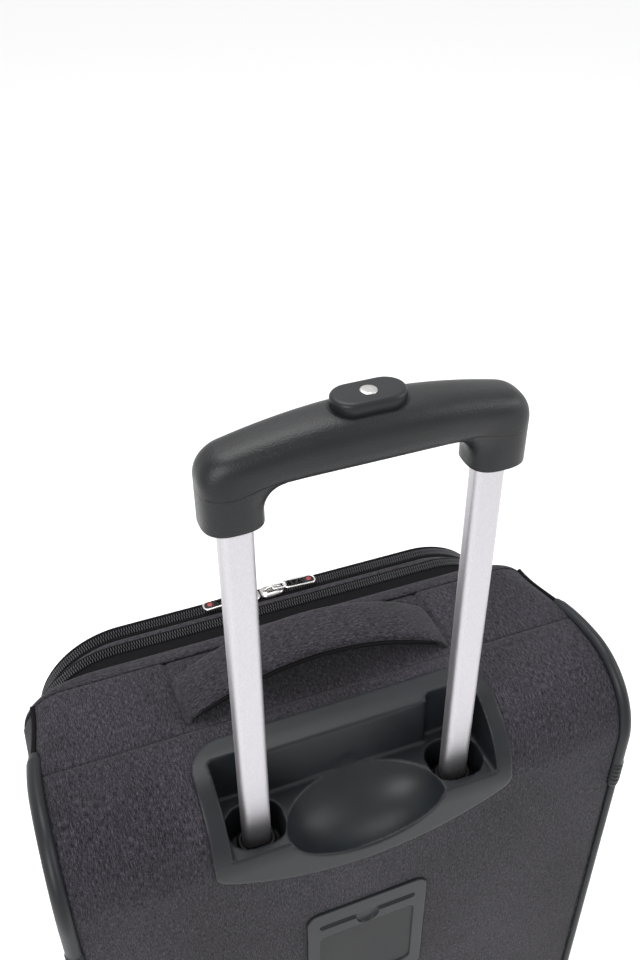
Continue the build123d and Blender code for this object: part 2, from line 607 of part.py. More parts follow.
def slider_places():
    """Each slider's name and where it stands: its place, and True if it is mirrored along its zip."""
    top = Plane(origin=(0, MAIN_ZIP_Y, RIM_TOP_Z + TEETH_PROUD), x_dir=(1, 0, 0), z_dir=(0, 0, 1))
    side = Plane(
        origin=(-RIM_SIDE_X - TEETH_PROUD, EXPANSION_ZIP_Y, BOTTOM_Z + EXPANSION_SLIDER_RISE),
        x_dir=(0, 0, 1),
        z_dir=(-1, 0, 0),
    )
    meet = SLIDER_LENGTH / 2 + 0.5
    places = [
        ("main_left", top * Pos(MAIN_SLIDERS_MEET_X - meet, 0, 0), False),
        ("main_right", top * Pos(MAIN_SLIDERS_MEET_X + meet, 0, 0), True),
        ("expansion", side, False),
    ]
    for name, width, _, depth, top_z in POCKETS:
        face = Plane(
            origin=(0, LID_FRONT_Y - depth - TEETH_THICKNESS, top_z - POCKET_ZIP_DROP),
            x_dir=(1, 0, 0),
            z_dir=(0, -1, 0),
        )
        x = width / 2 - POCKET_CORNER_RADIUS - SLIDER_LENGTH
        places.append((f"{name}_pocket", face * Pos(x, 0, 0), False))
    return places


# ---------------------------------------------------------------- trolley handle
def outer_tube(x):
    """Outer tube, fixed in the case."""
    return hollow_post(OUTER_TUBE, OUTER_RADIUS, TUBE_WALL, x, TUBE_Y, BASE_Z + BASE_HEIGHT / 2, OUTER_TOP_Z)


def trolley_base():
    """Moulded bar that holds the lower ends of both outer tubes."""
    half = TUBE_SPACING / 2 + OUTER_TUBE[0]
    y1 = BACK_Y - WALL - BACK_BOARD_THICKNESS
    bar = block(-half, half, TUBE_Y - OUTER_TUBE[1] / 2 - 1.0, y1, BASE_Z, BASE_Z + BASE_HEIGHT)
    bar = fillet(bar.edges().filter_by(Axis.Y), 8.0)
    for x in TUBE_XS:
        bar -= post(OUTER_TUBE, OUTER_RADIUS, x, TUBE_Y, BASE_Z + BASE_HEIGHT / 2, FAR)
    return bar


def middle_tube(x):
    """Middle tube, which slides in the outer tube and carries the collar."""
    top = COLLAR_TOP_Z - 2.0
    tube = hollow_post(MIDDLE_TUBE, MIDDLE_RADIUS, TUBE_WALL, x, TUBE_Y, MIDDLE_BOTTOM_Z, top)
    inside = tuple(side - 2 * TUBE_WALL - 2 * SLIDE_CLEARANCE for side in OUTER_TUBE)
    radius = OUTER_RADIUS - TUBE_WALL - SLIDE_CLEARANCE
    guide = post(inside, radius, x, TUBE_Y, MIDDLE_BOTTOM_Z, MIDDLE_BOTTOM_Z + GLIDE_HEIGHT)
    return tube + (guide - post(MIDDLE_TUBE, MIDDLE_RADIUS, x, TUBE_Y, 0, FAR))


def middle_collar(x):
    """Plastic collar on the middle tube's upper end, which guides the inner tube."""
    collar = post(OUTER_TUBE, OUTER_RADIUS, x, TUBE_Y, OUTER_TOP_Z + 0.2, COLLAR_TOP_Z)
    collar = chamfer(collar.faces().sort_by(Axis.Z)[-1].outer_wire().edges(), 1.2)
    collar -= post(MIDDLE_TUBE, MIDDLE_RADIUS, x, TUBE_Y, 0, COLLAR_TOP_Z - 2.0)
    bore = tuple(side + 2 * SLIDE_CLEARANCE for side in INNER_TUBE)
    return collar - post(bore, TUBE_RADIUS + SLIDE_CLEARANCE, x, TUBE_Y, 0, FAR)


def inner_tube(x):
    """Inner tube, from its glide up into the grip's leg."""
    return hollow_post(INNER_TUBE, TUBE_RADIUS, TUBE_WALL, x, TUBE_Y, INNER_BOTTOM_Z, LEG_Z + SOCKET_DEPTH)


def inner_glide(x):
    """Plastic glide plugged into the inner tube's lower end."""
    inside = tuple(side - 2 * TUBE_WALL for side in INNER_TUBE)
    running = tuple(side - 2 * TUBE_WALL - 2 * SLIDE_CLEARANCE for side in MIDDLE_TUBE)
    z0 = INNER_BOTTOM_Z - GLIDE_HEIGHT
    plug = post(running, MIDDLE_RADIUS - TUBE_WALL - SLIDE_CLEARANCE, x, TUBE_Y, z0, INNER_BOTTOM_Z)
    z1 = INNER_BOTTOM_Z + GLIDE_HEIGHT
    return plug + post(inside, TUBE_RADIUS - TUBE_WALL, x, TUBE_Y, INNER_BOTTOM_Z, z1)


# ---------------------------------------------------------------- grip and button
def grip_form():
    """The grip's outer form: a bar on two legs, rounded all over but flat under the legs."""
    half = GRIP_HALF_WIDTH
    inner = half - GRIP_LEG_WIDTH
    end = GRIP_HEIGHT - GRIP_BOW
    top = ThreePointArc((half, end), (0, GRIP_HEIGHT), (-half, end))
    right = Polyline((inner, GRIP_LEG_DROP), (inner, 0), (half, 0), (half, end))
    left = Polyline((-half, end), (-half, 0), (-inner, 0), (-inner, GRIP_LEG_DROP))
    under = Polyline((-inner, GRIP_LEG_DROP), (inner, GRIP_LEG_DROP))
    front = make_face(right.edges() + top.edges() + left.edges() + under.edges())
    front = fillet(front.vertices().filter_by(lambda v: v.Y > end - 1), GRIP_OUTER_RADIUS)
    front = fillet(front.vertices().filter_by(lambda v: abs(v.Y - GRIP_LEG_DROP) < 0.01), GRIP_INNER_RADIUS)
    form = extrude(Plane.XZ * front, GRIP_HALF_DEPTH, both=True)
    edges = form.edges().filter_by(lambda e: abs(e.tangent_at(0.5).Y) < 0.9 and e.center().Z > 0.5)
    return Pos(0, TUBE_Y, LEG_Z) * fillet(edges, GRIP_EDGE_RADIUS)


def button_outline(grow):
    """The button's oval outline, grown all round."""
    return RectangleRounded(BUTTON_LENGTH + 2 * grow, BUTTON_WIDTH + 2 * grow, BUTTON_WIDTH / 2 + grow - 0.01)


def grip_cavity():
    """The space inside the grip for the button, the yoke and their travel."""
    spare = 0.3
    z0 = PARTING_Z
    chamber = Pos(0, TUBE_Y, z0) * extrude(button_outline(BUTTON_FLANGE + spare), FLANGE_TOP_Z + 0.1 - z0)
    hole = Pos(0, TUBE_Y, z0) * extrude(button_outline(BUTTON_CLEARANCE), FAR)
    half = TUBE_SPACING / 2 + YOKE_SIZE[0] / 2 + spare
    reach = YOKE_SIZE[0] / 2 + spare
    channel = block(-half, half, TUBE_Y - reach, TUBE_Y + reach, z0, YOKE_TOP_Z + spare)
    return chamber + hole + channel


def grip_upper_shell(form):
    """Upper shell of the grip, with the button's hole and chamber."""
    return (form & block(-FAR, FAR, -FAR, FAR, PARTING_Z, FAR)) - grip_cavity()


def grip_lower_shell(form):
    """Lower shell of the grip, with the tube sockets and the holes for the push rods."""
    shell = form & block(-FAR, FAR, -FAR, FAR, 0, PARTING_Z)
    for x in TUBE_XS:
        shell -= post(INNER_TUBE, TUBE_RADIUS, x, TUBE_Y, 0, LEG_Z + SOCKET_DEPTH)
        shell -= Pos(x, TUBE_Y, LEG_Z) * Cylinder(PUSH_ROD_RADIUS + 0.5, FAR)
    return shell


def release_button():
    """Oval button with a retaining flange under the upper shell."""
    top = GRIP_TOP_Z + BUTTON_PROUD
    stem = Pos(0, TUBE_Y, YOKE_TOP_Z) * extrude(button_outline(0), top - YOKE_TOP_Z)
    stem = fillet(stem.faces().sort_by(Axis.Z)[-1].outer_wire().edges(), 2.0)
    return stem + Pos(0, TUBE_Y, YOKE_TOP_Z) * extrude(button_outline(BUTTON_FLANGE), BUTTON_FLANGE)


def release_yoke():
    """Bar under the button with a push rod down each inner tube."""
    half = TUBE_SPACING / 2 + YOKE_SIZE[0] / 2
    reach = YOKE_SIZE[0] / 2
    yoke = block(-half, half, TUBE_Y - reach, TUBE_Y + reach, YOKE_Z, YOKE_TOP_Z)
    foot = INNER_BOTTOM_Z + GLIDE_HEIGHT + 2 * BUTTON_TRAVEL
    for x in TUBE_XS:
        yoke += Pos(x, TUBE_Y, (foot + YOKE_Z) / 2) * Cylinder(PUSH_ROD_RADIUS, YOKE_Z - foot)
    return yoke


def button_spring():
    """Coil spring between the lower shell and the yoke."""
    z0 = PARTING_Z + SPRING_WIRE_RADIUS
    length = YOKE_Z - PARTING_Z - 2 * SPRING_WIRE_RADIUS - 0.1
    path = Helix(length / SPRING_TURNS, length, SPRING_RADIUS)
    coil = sweep(Plane(origin=path @ 0, z_dir=path % 0) * Circle(SPRING_WIRE_RADIUS), path, is_frenet=True)
    return Pos(0, TUBE_Y, z0) * coil


# ---------------------------------------------------------------- wheels and feet
def housing_screw_places():
    """Where the right housing's screws go in from below."""
    y = BACK_Y + HOUSING_PROUD - HOUSING_SIZE[1] + 2 * SCREW_HEAD_RADIUS
    z = BOTTOM_Z - HOUSING_DROP
    return [Pos(WHEEL_X + side * WHEEL_WIDTH / 3, y, z) * Rot(180, 0, 0) for side in (-1, 1)]


def housing_screws():
    """The right housing's screws."""
    return [place * screw(SCREW_RADIUS, 14.0, SCREW_HEAD_RADIUS, 2.4) for place in housing_screw_places()]


def wheel_housing():
    """Moulded right wheel housing, open below and behind."""
    width, depth, height = HOUSING_SIZE
    x1 = HALF_WIDTH + HOUSING_PROUD
    y1 = BACK_Y + HOUSING_PROUD
    housing = block(x1 - width, x1, y1 - depth, y1, BOTTOM_Z - HOUSING_DROP, BOTTOM_Z + height)
    upright = housing.edges().filter_by(Axis.Z).sort_by(Axis.X)[-2:]
    housing = fillet(upright, 2 * HOUSING_EDGE_RADIUS)
    top = housing.faces().sort_by(Axis.Z)[-1].edges()
    top = top.filter_by(lambda e: e.center().Y > y1 - 1 or e.center().X > x1 - 1)
    housing = fillet(top, HOUSING_EDGE_RADIUS / 2)
    reach = WHEEL_RADIUS + WHEEL_CLEARANCE
    half = WHEEL_WIDTH / 2 + WHEEL_CLEARANCE / 2
    housing -= rod_x(reach, WHEEL_X - half, WHEEL_X + half, WHEEL_Y, WHEEL_RADIUS)
    housing -= rod_x(AXLE_RADIUS, AXLE_SPAN[0], AXLE_SPAN[1], WHEEL_Y, WHEEL_RADIUS)
    for place in housing_screw_places():
        housing -= place * (Pos(0, 0, -1.2) * Cylinder(SCREW_HEAD_RADIUS, 2.4))
        housing -= place * (Pos(0, 0, -9.4) * Cylinder(SCREW_RADIUS, 14.0))
    return housing


def axle():
    """Right axle, pressed into both walls of its housing."""
    return rod_x(AXLE_RADIUS, AXLE_SPAN[0], AXLE_SPAN[1], WHEEL_Y, WHEEL_RADIUS)


def tyre():
    """Right tyre."""
    half = WHEEL_WIDTH / 2
    ring = rod_x(WHEEL_RADIUS, WHEEL_X - half, WHEEL_X + half, WHEEL_Y, WHEEL_RADIUS)
    ring = fillet(ring.edges(), 5.0)
    return ring - rod_x(WHEEL_RADIUS - TYRE_THICKNESS, 0, FAR, WHEEL_Y, WHEEL_RADIUS)


def hub():
    """Right hub, dished on both faces, with a seat for the bearing."""
    half = WHEEL_WIDTH / 2 - 1.0
    rim = WHEEL_RADIUS - TYRE_THICKNESS
    disc = rod_x(rim, WHEEL_X - half, WHEEL_X + half, WHEEL_Y, WHEEL_RADIUS)
    for side in (-1, 1):
        x0, x1 = sorted((WHEEL_X + side * HUB_WEB_HALF, WHEEL_X + side * FAR))
        disc -= rod_x(rim - HUB_RIM_WALL, x0, x1, WHEEL_Y, WHEEL_RADIUS)
        x0, x1 = sorted((WHEEL_X, WHEEL_X + side * half))
        disc += rod_x(BEARING_OUTER_RADIUS + HUB_BOSS_WALL, x0, x1, WHEEL_Y, WHEEL_RADIUS)
    disc -= rod_x(AXLE_RADIUS + 1.0, 0, FAR, WHEEL_Y, WHEEL_RADIUS)
    return disc - bearing_seat()


def bearing_seat():
    """The space that the right bearing fills in its hub."""
    return rod_x(
        BEARING_OUTER_RADIUS, WHEEL_X - BEARING_WIDTH / 2, WHEEL_X + BEARING_WIDTH / 2, WHEEL_Y, WHEEL_RADIUS
    )


def bearing():
    """Right bearing, running on the axle."""
    return bearing_seat() - rod_x(AXLE_RADIUS + SLIDE_CLEARANCE, 0, FAR, WHEEL_Y, WHEEL_RADIUS)


def foot():
    """Right front foot, tapering to the floor."""
    y = FLANGE_Y + FRONT_EDGE_RADIUS + FOOT_SIZE[1] / 2 + 2.0
    base = Plane(origin=(HALF_WIDTH - FOOT_INSET, y, BOTTOM_Z)) * RectangleRounded(*FOOT_SIZE, 10.0)
    return fillet(extrude(base, -BOTTOM_Z, taper=8).faces().sort_by(Axis.Z)[0].outer_wire().edges(), 2.0)


# ---------------------------------------------------------------- every node
wrap = case_wrap()
save("top_panel", top_panel(wrap))
save("back_panel", back_panel(wrap))
save("bottom_panel", bottom_panel(wrap))
save("front_flange", wrap & front_flange_zone())
save("side_panel_right", side_panel())
save("side_panel_left", mirror(side_panel(), Plane.YZ))
save("side_piping", both_sides(side_piping()))
save("corner_guards", both_sides(corner_guard()))
save("back_board", back_board())
save("back_lining", back_lining())
save("carry_handle", carry_handle())
save("side_handle", side_handle())
save("id_frame", id_frame())
save("id_card", id_card())
save("handle_well", handle_well())
save("expansion_gusset", expansion_gusset())
save("expansion_zip_rear", zip_half(EXPANSION_ZIP_Y, 1, REAR_TAPE_WIDTH, 0.0))
save("expansion_zip_front", zip_half(EXPANSION_ZIP_Y, -1, FRONT_TAPE_WIDTH - GAP, GAP))
save("rim_band", rim_band())
save("main_zip_rear", zip_half(MAIN_ZIP_Y, 1, FRONT_TAPE_WIDTH, 0.0))
save("lid_zip", zip_half(MAIN_ZIP_Y, -1, LID_TAPE_WIDTH - GAP, GAP))
save("lid_panel", lid_panel())
for name, width, height, depth, top_z in POCKETS:
    save(f"{name}_pocket", pocket(width, height, depth, top_z - height / 2))
    save(f"{name}_pocket_zip", pocket_zip(width, depth, top_z))
for name, place, mirrored in slider_places():
    slider, pull = zip_slider(), zip_pull()
    if mirrored:
        slider, pull = mirror(slider, Plane.YZ), mirror(pull, Plane.YZ)
    save(f"{name}_slider", place * slider)
    save(f"{name}_pull", place * pull)
save("trolley_base", trolley_base())
save("outer_tubes", Compound(children=[outer_tube(x) for x in TUBE_XS]))
save("inner_tubes", Compound(children=[inner_tube(x) for x in TUBE_XS]))
save("inner_glides", Compound(children=[inner_glide(x) for x in TUBE_XS]))
for name, x in zip(("left", "right"), TUBE_XS):
    save(f"middle_tube_{name}", middle_tube(x))
    save(f"middle_collar_{name}", middle_collar(x))
form = grip_form()
save("grip_upper_shell", grip_upper_shell(form))
save("grip_lower_shell", grip_lower_shell(form))
save("release_button", release_button())
save("release_yoke", release_yoke())
save("button_spring", button_spring())
for name, make in (("wheel_housing", wheel_housing), ("tyre", tyre), ("hub", hub), ("bearing", bearing)):
    right = make()
    save(f"{name}_right", right)
    save(f"{name}_left", mirror(right, Plane.YZ))
save("axles", both_sides(axle()))
save("feet", both_sides(foot()))
screws = housing_screws()
save("housing_screws", Compound(children=screws + [mirror(one, Plane.YZ) for one in screws]))
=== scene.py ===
import math

import bmesh
import bpy
import numpy as np
from mathutils import Matrix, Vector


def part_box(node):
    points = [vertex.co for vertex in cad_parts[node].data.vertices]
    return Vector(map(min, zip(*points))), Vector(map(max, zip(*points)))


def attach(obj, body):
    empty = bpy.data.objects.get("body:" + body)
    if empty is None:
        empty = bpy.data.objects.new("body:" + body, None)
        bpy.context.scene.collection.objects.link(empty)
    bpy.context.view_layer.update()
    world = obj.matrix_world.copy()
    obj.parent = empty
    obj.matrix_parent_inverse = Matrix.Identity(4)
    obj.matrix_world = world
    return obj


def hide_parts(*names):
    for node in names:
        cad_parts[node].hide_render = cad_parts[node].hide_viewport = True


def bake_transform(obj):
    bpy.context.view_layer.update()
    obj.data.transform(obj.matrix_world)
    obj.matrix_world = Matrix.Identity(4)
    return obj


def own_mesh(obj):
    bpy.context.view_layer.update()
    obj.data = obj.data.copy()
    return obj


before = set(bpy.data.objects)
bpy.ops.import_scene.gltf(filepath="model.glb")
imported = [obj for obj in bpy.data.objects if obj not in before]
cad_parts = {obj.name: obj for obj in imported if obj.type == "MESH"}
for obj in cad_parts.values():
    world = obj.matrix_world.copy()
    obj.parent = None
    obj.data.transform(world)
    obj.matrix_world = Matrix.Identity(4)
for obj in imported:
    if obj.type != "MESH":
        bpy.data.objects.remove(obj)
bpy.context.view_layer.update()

# ------------------------------------------------------------------ camera and studio
# The camera looks down on the back and top of the case from behind its right corner. A pale floor
# runs off in all directions under an even white sky, with three large soft lamps.
CAMERA_PLACE = (0.1627, 0.4417, 1.0623)
CAMERA_YAW = math.radians(21.11)
CAMERA_PITCH = math.radians(36.56)
CAMERA_ROLL = math.radians(-0.37)
CAMERA_LENS = 37.85

camera = bpy.data.objects.new("camera", bpy.data.cameras.new("camera"))
camera.data.lens = CAMERA_LENS
camera.data.sensor_width = 36.0
camera.data.clip_start = 0.01
turn = Matrix.Rotation(math.pi - CAMERA_YAW, 4, "Z") @ Matrix.Rotation(math.pi / 2 - CAMERA_PITCH, 4, "X")
camera.matrix_world = Matrix.Translation(CAMERA_PLACE) @ turn @ Matrix.Rotation(CAMERA_ROLL, 4, "Z")
bpy.context.scene.collection.objects.link(camera)
bpy.context.scene.camera = camera
bpy.context.scene.view_settings.view_transform = "Standard"


def soft_lamp(name, place, aim, size, watts):
    """A square area lamp at place, turned to face aim."""
    lamp = bpy.data.objects.new(name, bpy.data.lights.new(name, "AREA"))
    lamp.data.size = size
    lamp.data.energy = watts
    direction = np.subtract(aim, place)
    yaw = math.atan2(direction[1], direction[0]) - math.pi / 2
    tilt = math.acos(-direction[2] / np.linalg.norm(direction))
    lamp.matrix_world = (
        Matrix.Translation(place) @ Matrix.Rotation(yaw, 4, "Z") @ Matrix.Rotation(tilt, 4, "X")
    )
    bpy.context.scene.collection.objects.link(lamp)


soft_lamp("lamp_back_left", (1.3, 1.3, 1.7), (0, 0, 0.5), 1.0, 28.0)
soft_lamp("lamp_back_right", (-1.5, 0.7, 1.5), (0, 0, 0.5), 1.0, 12.0)
soft_lamp("lamp_top", (0.1, -0.5, 2.3), (0, 0, 0.5), 1.2, 24.0)

world = bpy.data.worlds.new("sky")
bpy.context.scene.world = world
world.use_nodes = True
world.node_tree.nodes["Background"].inputs["Color"].default_value = (1.0, 1.0, 1.0, 1.0)
world.node_tree.nodes["Background"].inputs["Strength"].default_value = 1.0


# ------------------------------------------------------------------ floor
# The floor is a wide pale plane. The mesh and material helpers that every piece uses come before it.
def grid_piece(name, points, around=False, along=False, uv=None, centre=None, smooth=True):
    """A mesh over a rows x columns array of points, with one quad between each four neighbours.
    around closes the columns on themselves and along closes the rows. Faces point away from
    centre, or out of a closed form when centre is None."""
    rows, columns = points.shape[:2]
    i, j = np.meshgrid(
        np.arange(rows if along else rows - 1), np.arange(columns if around else columns - 1), indexing="ij"
    )
    i, j = i.ravel(), j.ravel()
    ni, nj = i + 1, j + 1
    quads = np.stack(
        [i * columns + j, (ni % rows) * columns + j, (ni % rows) * columns + nj % columns,
         i * columns + nj % columns], 1
    )
    corners = np.stack([np.stack([i, j], 1), np.stack([ni, j], 1), np.stack([ni, nj], 1),
                        np.stack([i, nj], 1)], 1)
    flat = points.reshape(-1, 3)
    a, b, c, d = (flat[quads[:, k]] for k in range(4))
    normals = np.cross(c - a, d - b)
    middle = (a + b + c + d) / 4 - (np.zeros(3) if centre is None else np.asarray(centre))
    if (normals * middle).sum() < 0:
        quads, corners = quads[:, ::-1], corners[:, ::-1]
    mesh = bpy.data.meshes.new(name)
    mesh.from_pydata(flat.tolist(), [], quads.tolist())
    if uv is not None:
        layer = mesh.uv_layers.new(name="cloth")
        layer.data.foreach_set("uv", uv[corners[..., 0] % uv.shape[0], corners[..., 1] % uv.shape[1]].ravel())
    mesh.polygons.foreach_set("use_smooth", np.full(len(quads), smooth))
    mesh.update()
    piece = bpy.data.objects.new(name, mesh)
    bpy.context.scene.collection.objects.link(piece)
    return piece


def smoothstep(t):
    """0 below 0, 1 above 1, and a smooth cubic rise between."""
    t = np.clip(t, 0.0, 1.0)
    return t * t * (3 - 2 * t)


def waves(u, v, scale, seed):
    """A smooth uneven height field from -1 to 1: a sum of five sine waves in seeded directions."""
    rng = np.random.default_rng(seed)
    total = np.zeros(np.broadcast(u, v).shape)
    for _ in range(5):
        angle, phase, pitch = rng.uniform(0, 2 * math.pi), rng.uniform(0, 2 * math.pi), rng.uniform(0.6, 1.5)
        total = total + np.sin((u * math.cos(angle) + v * math.sin(angle)) * pitch / scale + phase)
    return total / 5


def line_points(a, b, step=0.003):
    """Points from a to b, about step apart, without b."""
    count = max(2, int(np.hypot(*np.subtract(b, a)) / step))
    return np.linspace(a, b, count, endpoint=False)


def arc_points(centre, radius, start, end, step=0.0012):
    """Points on a circle's arc between two angles in degrees, without the last."""
    count = max(4, int(abs(math.radians(end - start)) * radius / step))
    angle = np.radians(np.linspace(start, end, count, endpoint=False))
    return np.stack([centre[0] + radius * np.cos(angle), centre[1] + radius * np.sin(angle)], 1)


def run_lengths(points):
    """The distance along a path at each of its points."""
    steps = np.linalg.norm(np.diff(points, axis=0), axis=1)
    return np.concatenate([[0.0], np.cumsum(steps)])


def resample(points, count):
    """count points evenly spaced along a path."""
    s = run_lengths(points)
    t = np.linspace(0.0, s[-1], count)
    return np.stack([np.interp(t, s, points[:, k]) for k in range(points.shape[1])], 1)


def directions(path, closed):
    """Unit tangents along a path."""
    if closed:
        steps = np.roll(path, -1, 0) - np.roll(path, 1, 0)
    else:
        steps = np.gradient(path, axis=0)
    return steps / np.linalg.norm(steps, axis=1, keepdims=True)


def tube_piece(name, path, normals, section, closed=False, uv=False, smooth=True):
    """A section carried along a path: the section's first axis lies along the normals and its second
    across them. An open tube's ends close onto their centres."""
    tangents = directions(path, closed)
    normals = normals - tangents * (normals * tangents).sum(1, keepdims=True)
    normals = normals / np.linalg.norm(normals, axis=1, keepdims=True)
    across = np.cross(tangents, normals)
    if section.ndim == 2:
        section = np.broadcast_to(section, (len(path), *section.shape))
    points = (
        path[:, None] + normals[:, None] * section[..., 0, None] + across[:, None] * section[..., 1, None]
    )
    if not closed:
        ends = [np.broadcast_to(points[k].mean(0), points[k].shape) for k in (0, -1)]
        points = np.concatenate([ends[0][None], points, ends[1][None]])
    cloth = None
    if uv:
        s = run_lengths(np.concatenate([points[:, 0], points[:1, 0]]) if closed else points[:, 0])
        round_it = run_lengths(np.concatenate([section[0], section[0][:1]]))
        cloth = np.stack(np.meshgrid(s, round_it, indexing="ij"), -1)[..., ::-1]
    piece = grid_piece(name, points, around=True, along=closed, uv=cloth, smooth=smooth)
    if not closed:
        merge_doubles(piece)
    return piece


def merge_doubles(piece):
    """Joins points that lie on each other, such as those at a pole."""
    mesh = bmesh.new()
    mesh.from_mesh(piece.data)
    bmesh.ops.remove_doubles(mesh, verts=mesh.verts, dist=1e-6)
    mesh.to_mesh(piece.data)
    mesh.free()


def ellipse(half_a, half_b, count=12, power=2.0):
    """A closed superellipse section: power 2 is an ellipse and a higher power is boxier."""
    t = np.linspace(0, 2 * math.pi, count, endpoint=False)
    c, s = np.cos(t), np.sin(t)
    shape = 2.0 / power
    return np.stack([half_a * np.sign(c) * np.abs(c) ** shape, half_b * np.sign(s) * np.abs(s) ** shape], 1)


def thicken(piece, thickness, offset=-1.0):
    """Gives a sheet its thickness, inwards from its outer face."""
    modifier = piece.modifiers.new("thickness", "SOLIDIFY")
    modifier.thickness = thickness
    modifier.offset = offset
    return piece


def finish_piece(piece, body, material, slot, *replaced):
    """Gives a piece its material and its body, and hides the CAD nodes that it stands for. The slot argument
    is not used. A piece with no body is left unattached."""
    piece.data.materials.clear()
    piece.data.materials.append(material)
    if body:
        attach(piece, body)
    if replaced:
        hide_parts(*replaced)
    return piece


def new_material(name, **settings):
    """A material with values set on its shader, and its node tree, ready for more nodes."""
    material = bpy.data.materials.new(name)
    material.use_nodes = True
    shader = material.node_tree.nodes["Principled BSDF"]
    for key, value in settings.items():
        shader.inputs[key.replace("_", " ")].default_value = value
    return material


def add_node(material, kind, inputs=(), **settings):
    """A shader node: inputs maps a socket's name or number to a value or to another node's output."""
    made = material.node_tree.nodes.new("ShaderNode" + kind)
    for key, value in settings.items():
        setattr(made, key, value)
    for key, value in dict(inputs).items():
        if isinstance(value, bpy.types.NodeSocket):
            material.node_tree.links.new(value, made.inputs[key])
        else:
            made.inputs[key].default_value = value
    return made


def shader_input(material, socket, value):
    """Links an output to one of the shader's sockets."""
    material.node_tree.links.new(value, material.node_tree.nodes["Principled BSDF"].inputs[socket])


def stretched_noise(material, coordinates, scale, detail=2.0, roughness=0.5):
    """Noise on coordinates that are scaled unevenly, as threads are."""
    mapping = add_node(material, "Mapping", {"Vector": coordinates, "Scale": scale})
    noise = add_node(
        material, "TexNoise", {"Vector": mapping.outputs[0], "Scale": 1.0, "Detail": detail,
                               "Roughness": roughness}
    )
    return noise.outputs[0]


def colour_ramp(material, value, *stops):
    """A ramp of (place, colour) stops over a value."""
    ramp = add_node(material, "ValToRGB", {0: value})
    while len(ramp.color_ramp.elements) < len(stops):
        ramp.color_ramp.elements.new(0.5)
    for element, (place, colour) in zip(ramp.color_ramp.elements, stops):
        element.position = place
        element.color = (*colour, 1.0)
    return ramp.outputs[0]


def bumped(material, height, strength, distance):
    """Bump from a height, linked to the shader's normal."""
    bump = add_node(material, "Bump", {"Height": height, "Strength": strength, "Distance": distance})
    shader_input(material, "Normal", bump.outputs[0])


def maths(material, operation, a, b):
    """One arithmetic step between two values or outputs."""
    return add_node(material, "Math", {0: a, 1: b}, operation=operation).outputs[0]


floor_material = new_material("pale_floor", Base_Color=(0.93, 0.93, 0.935, 1.0), Roughness=0.9)
floor = bpy.data.objects.new("floor", bpy.data.meshes.new("floor"))
FLOOR_REACH = 30.0
floor.data.from_pydata(
    [(-FLOOR_REACH, -FLOOR_REACH, 0), (FLOOR_REACH, -FLOOR_REACH, 0), (FLOOR_REACH, FLOOR_REACH, 0),
     (-FLOOR_REACH, FLOOR_REACH, 0)], [], [(0, 1, 2, 3)])
floor.data.materials.append(floor_material)
bpy.context.scene.collection.objects.link(floor)

# ------------------------------------------------------------------ shell fabric and the case's form
# The case is heather polyester, dark yarns with lighter slubs that run down its length, laminated to
# foam and sewn over a board frame. Two side panels meet one long wrap of top, back and bottom.
side_low, side_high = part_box("side_panel_right")
HALF_WIDTH = side_high.x
FRONT_Y = side_low.y
BACK_Y = side_high.y
BOTTOM_Z = side_low.z
TOP_Z = side_high.z
MIDDLE_Z = (BOTTOM_Z + TOP_Z) / 2
HALF_HEIGHT = (TOP_Z - BOTTOM_Z) / 2
TOP_SEAM_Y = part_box("top_panel")[1].y
TOP_CORNER = 0.050
BOTTOM_CORNER = 0.024
SHOULDER_Y = FRONT_Y + 0.005  # where the sides end and the flange turns in
SHOULDER_RADIUS = 0.030
CUT_BACK = 0.293  # how far a rounded corner lies inside its square one, over the radius
CLOTH_THICKNESS = 0.0016
CASE_CENTRE = (0.0, (BACK_Y + FRONT_Y) / 2, MIDDLE_Z)


def heather_fabric(name, dark, light):
    """Two-tone woven cloth: long slubs along V, short ones along U, and a fine weave that is raised."""
    cloth = new_material(name, Roughness=0.92, Sheen_Weight=0.05, Sheen_Roughness=0.5,
                         Specular_IOR_Level=0.15)
    place = add_node(cloth, "UVMap", uv_map="cloth").outputs[0]
    warp = stretched_noise(cloth, place, (1900, 290, 1), 3.0, 0.62)
    weft = stretched_noise(cloth, place, (420, 1900, 1), 3.0, 0.62)
    slub = stretched_noise(cloth, place, (800, 60, 1), 2.0, 0.55)
    cloud = stretched_noise(cloth, place, (11, 7, 1), 2.0, 0.5)
    mix = maths(cloth, "ADD", maths(cloth, "MULTIPLY", warp, 0.50), maths(cloth, "MULTIPLY", weft, 0.26))
    mix = maths(cloth, "ADD", mix, maths(cloth, "MULTIPLY", slub, 0.14))
    mix = maths(cloth, "ADD", mix, maths(cloth, "MULTIPLY", cloud, 0.10))
    shader_input(cloth, "Base Color", colour_ramp(cloth, mix, (0.40, dark),
                                                  (0.50, np.add(dark, light) / 3.0), (0.61, light)))
    thread = maths(cloth, "ADD", maths(cloth, "MULTIPLY", warp, 0.6), maths(cloth, "MULTIPLY", weft, 0.6))
    bumped(cloth, thread, 0.55, 0.0006)
    return cloth


shell_fabric = heather_fabric("shell_fabric", (0.0016, 0.0015, 0.0024), (0.054, 0.050, 0.061))

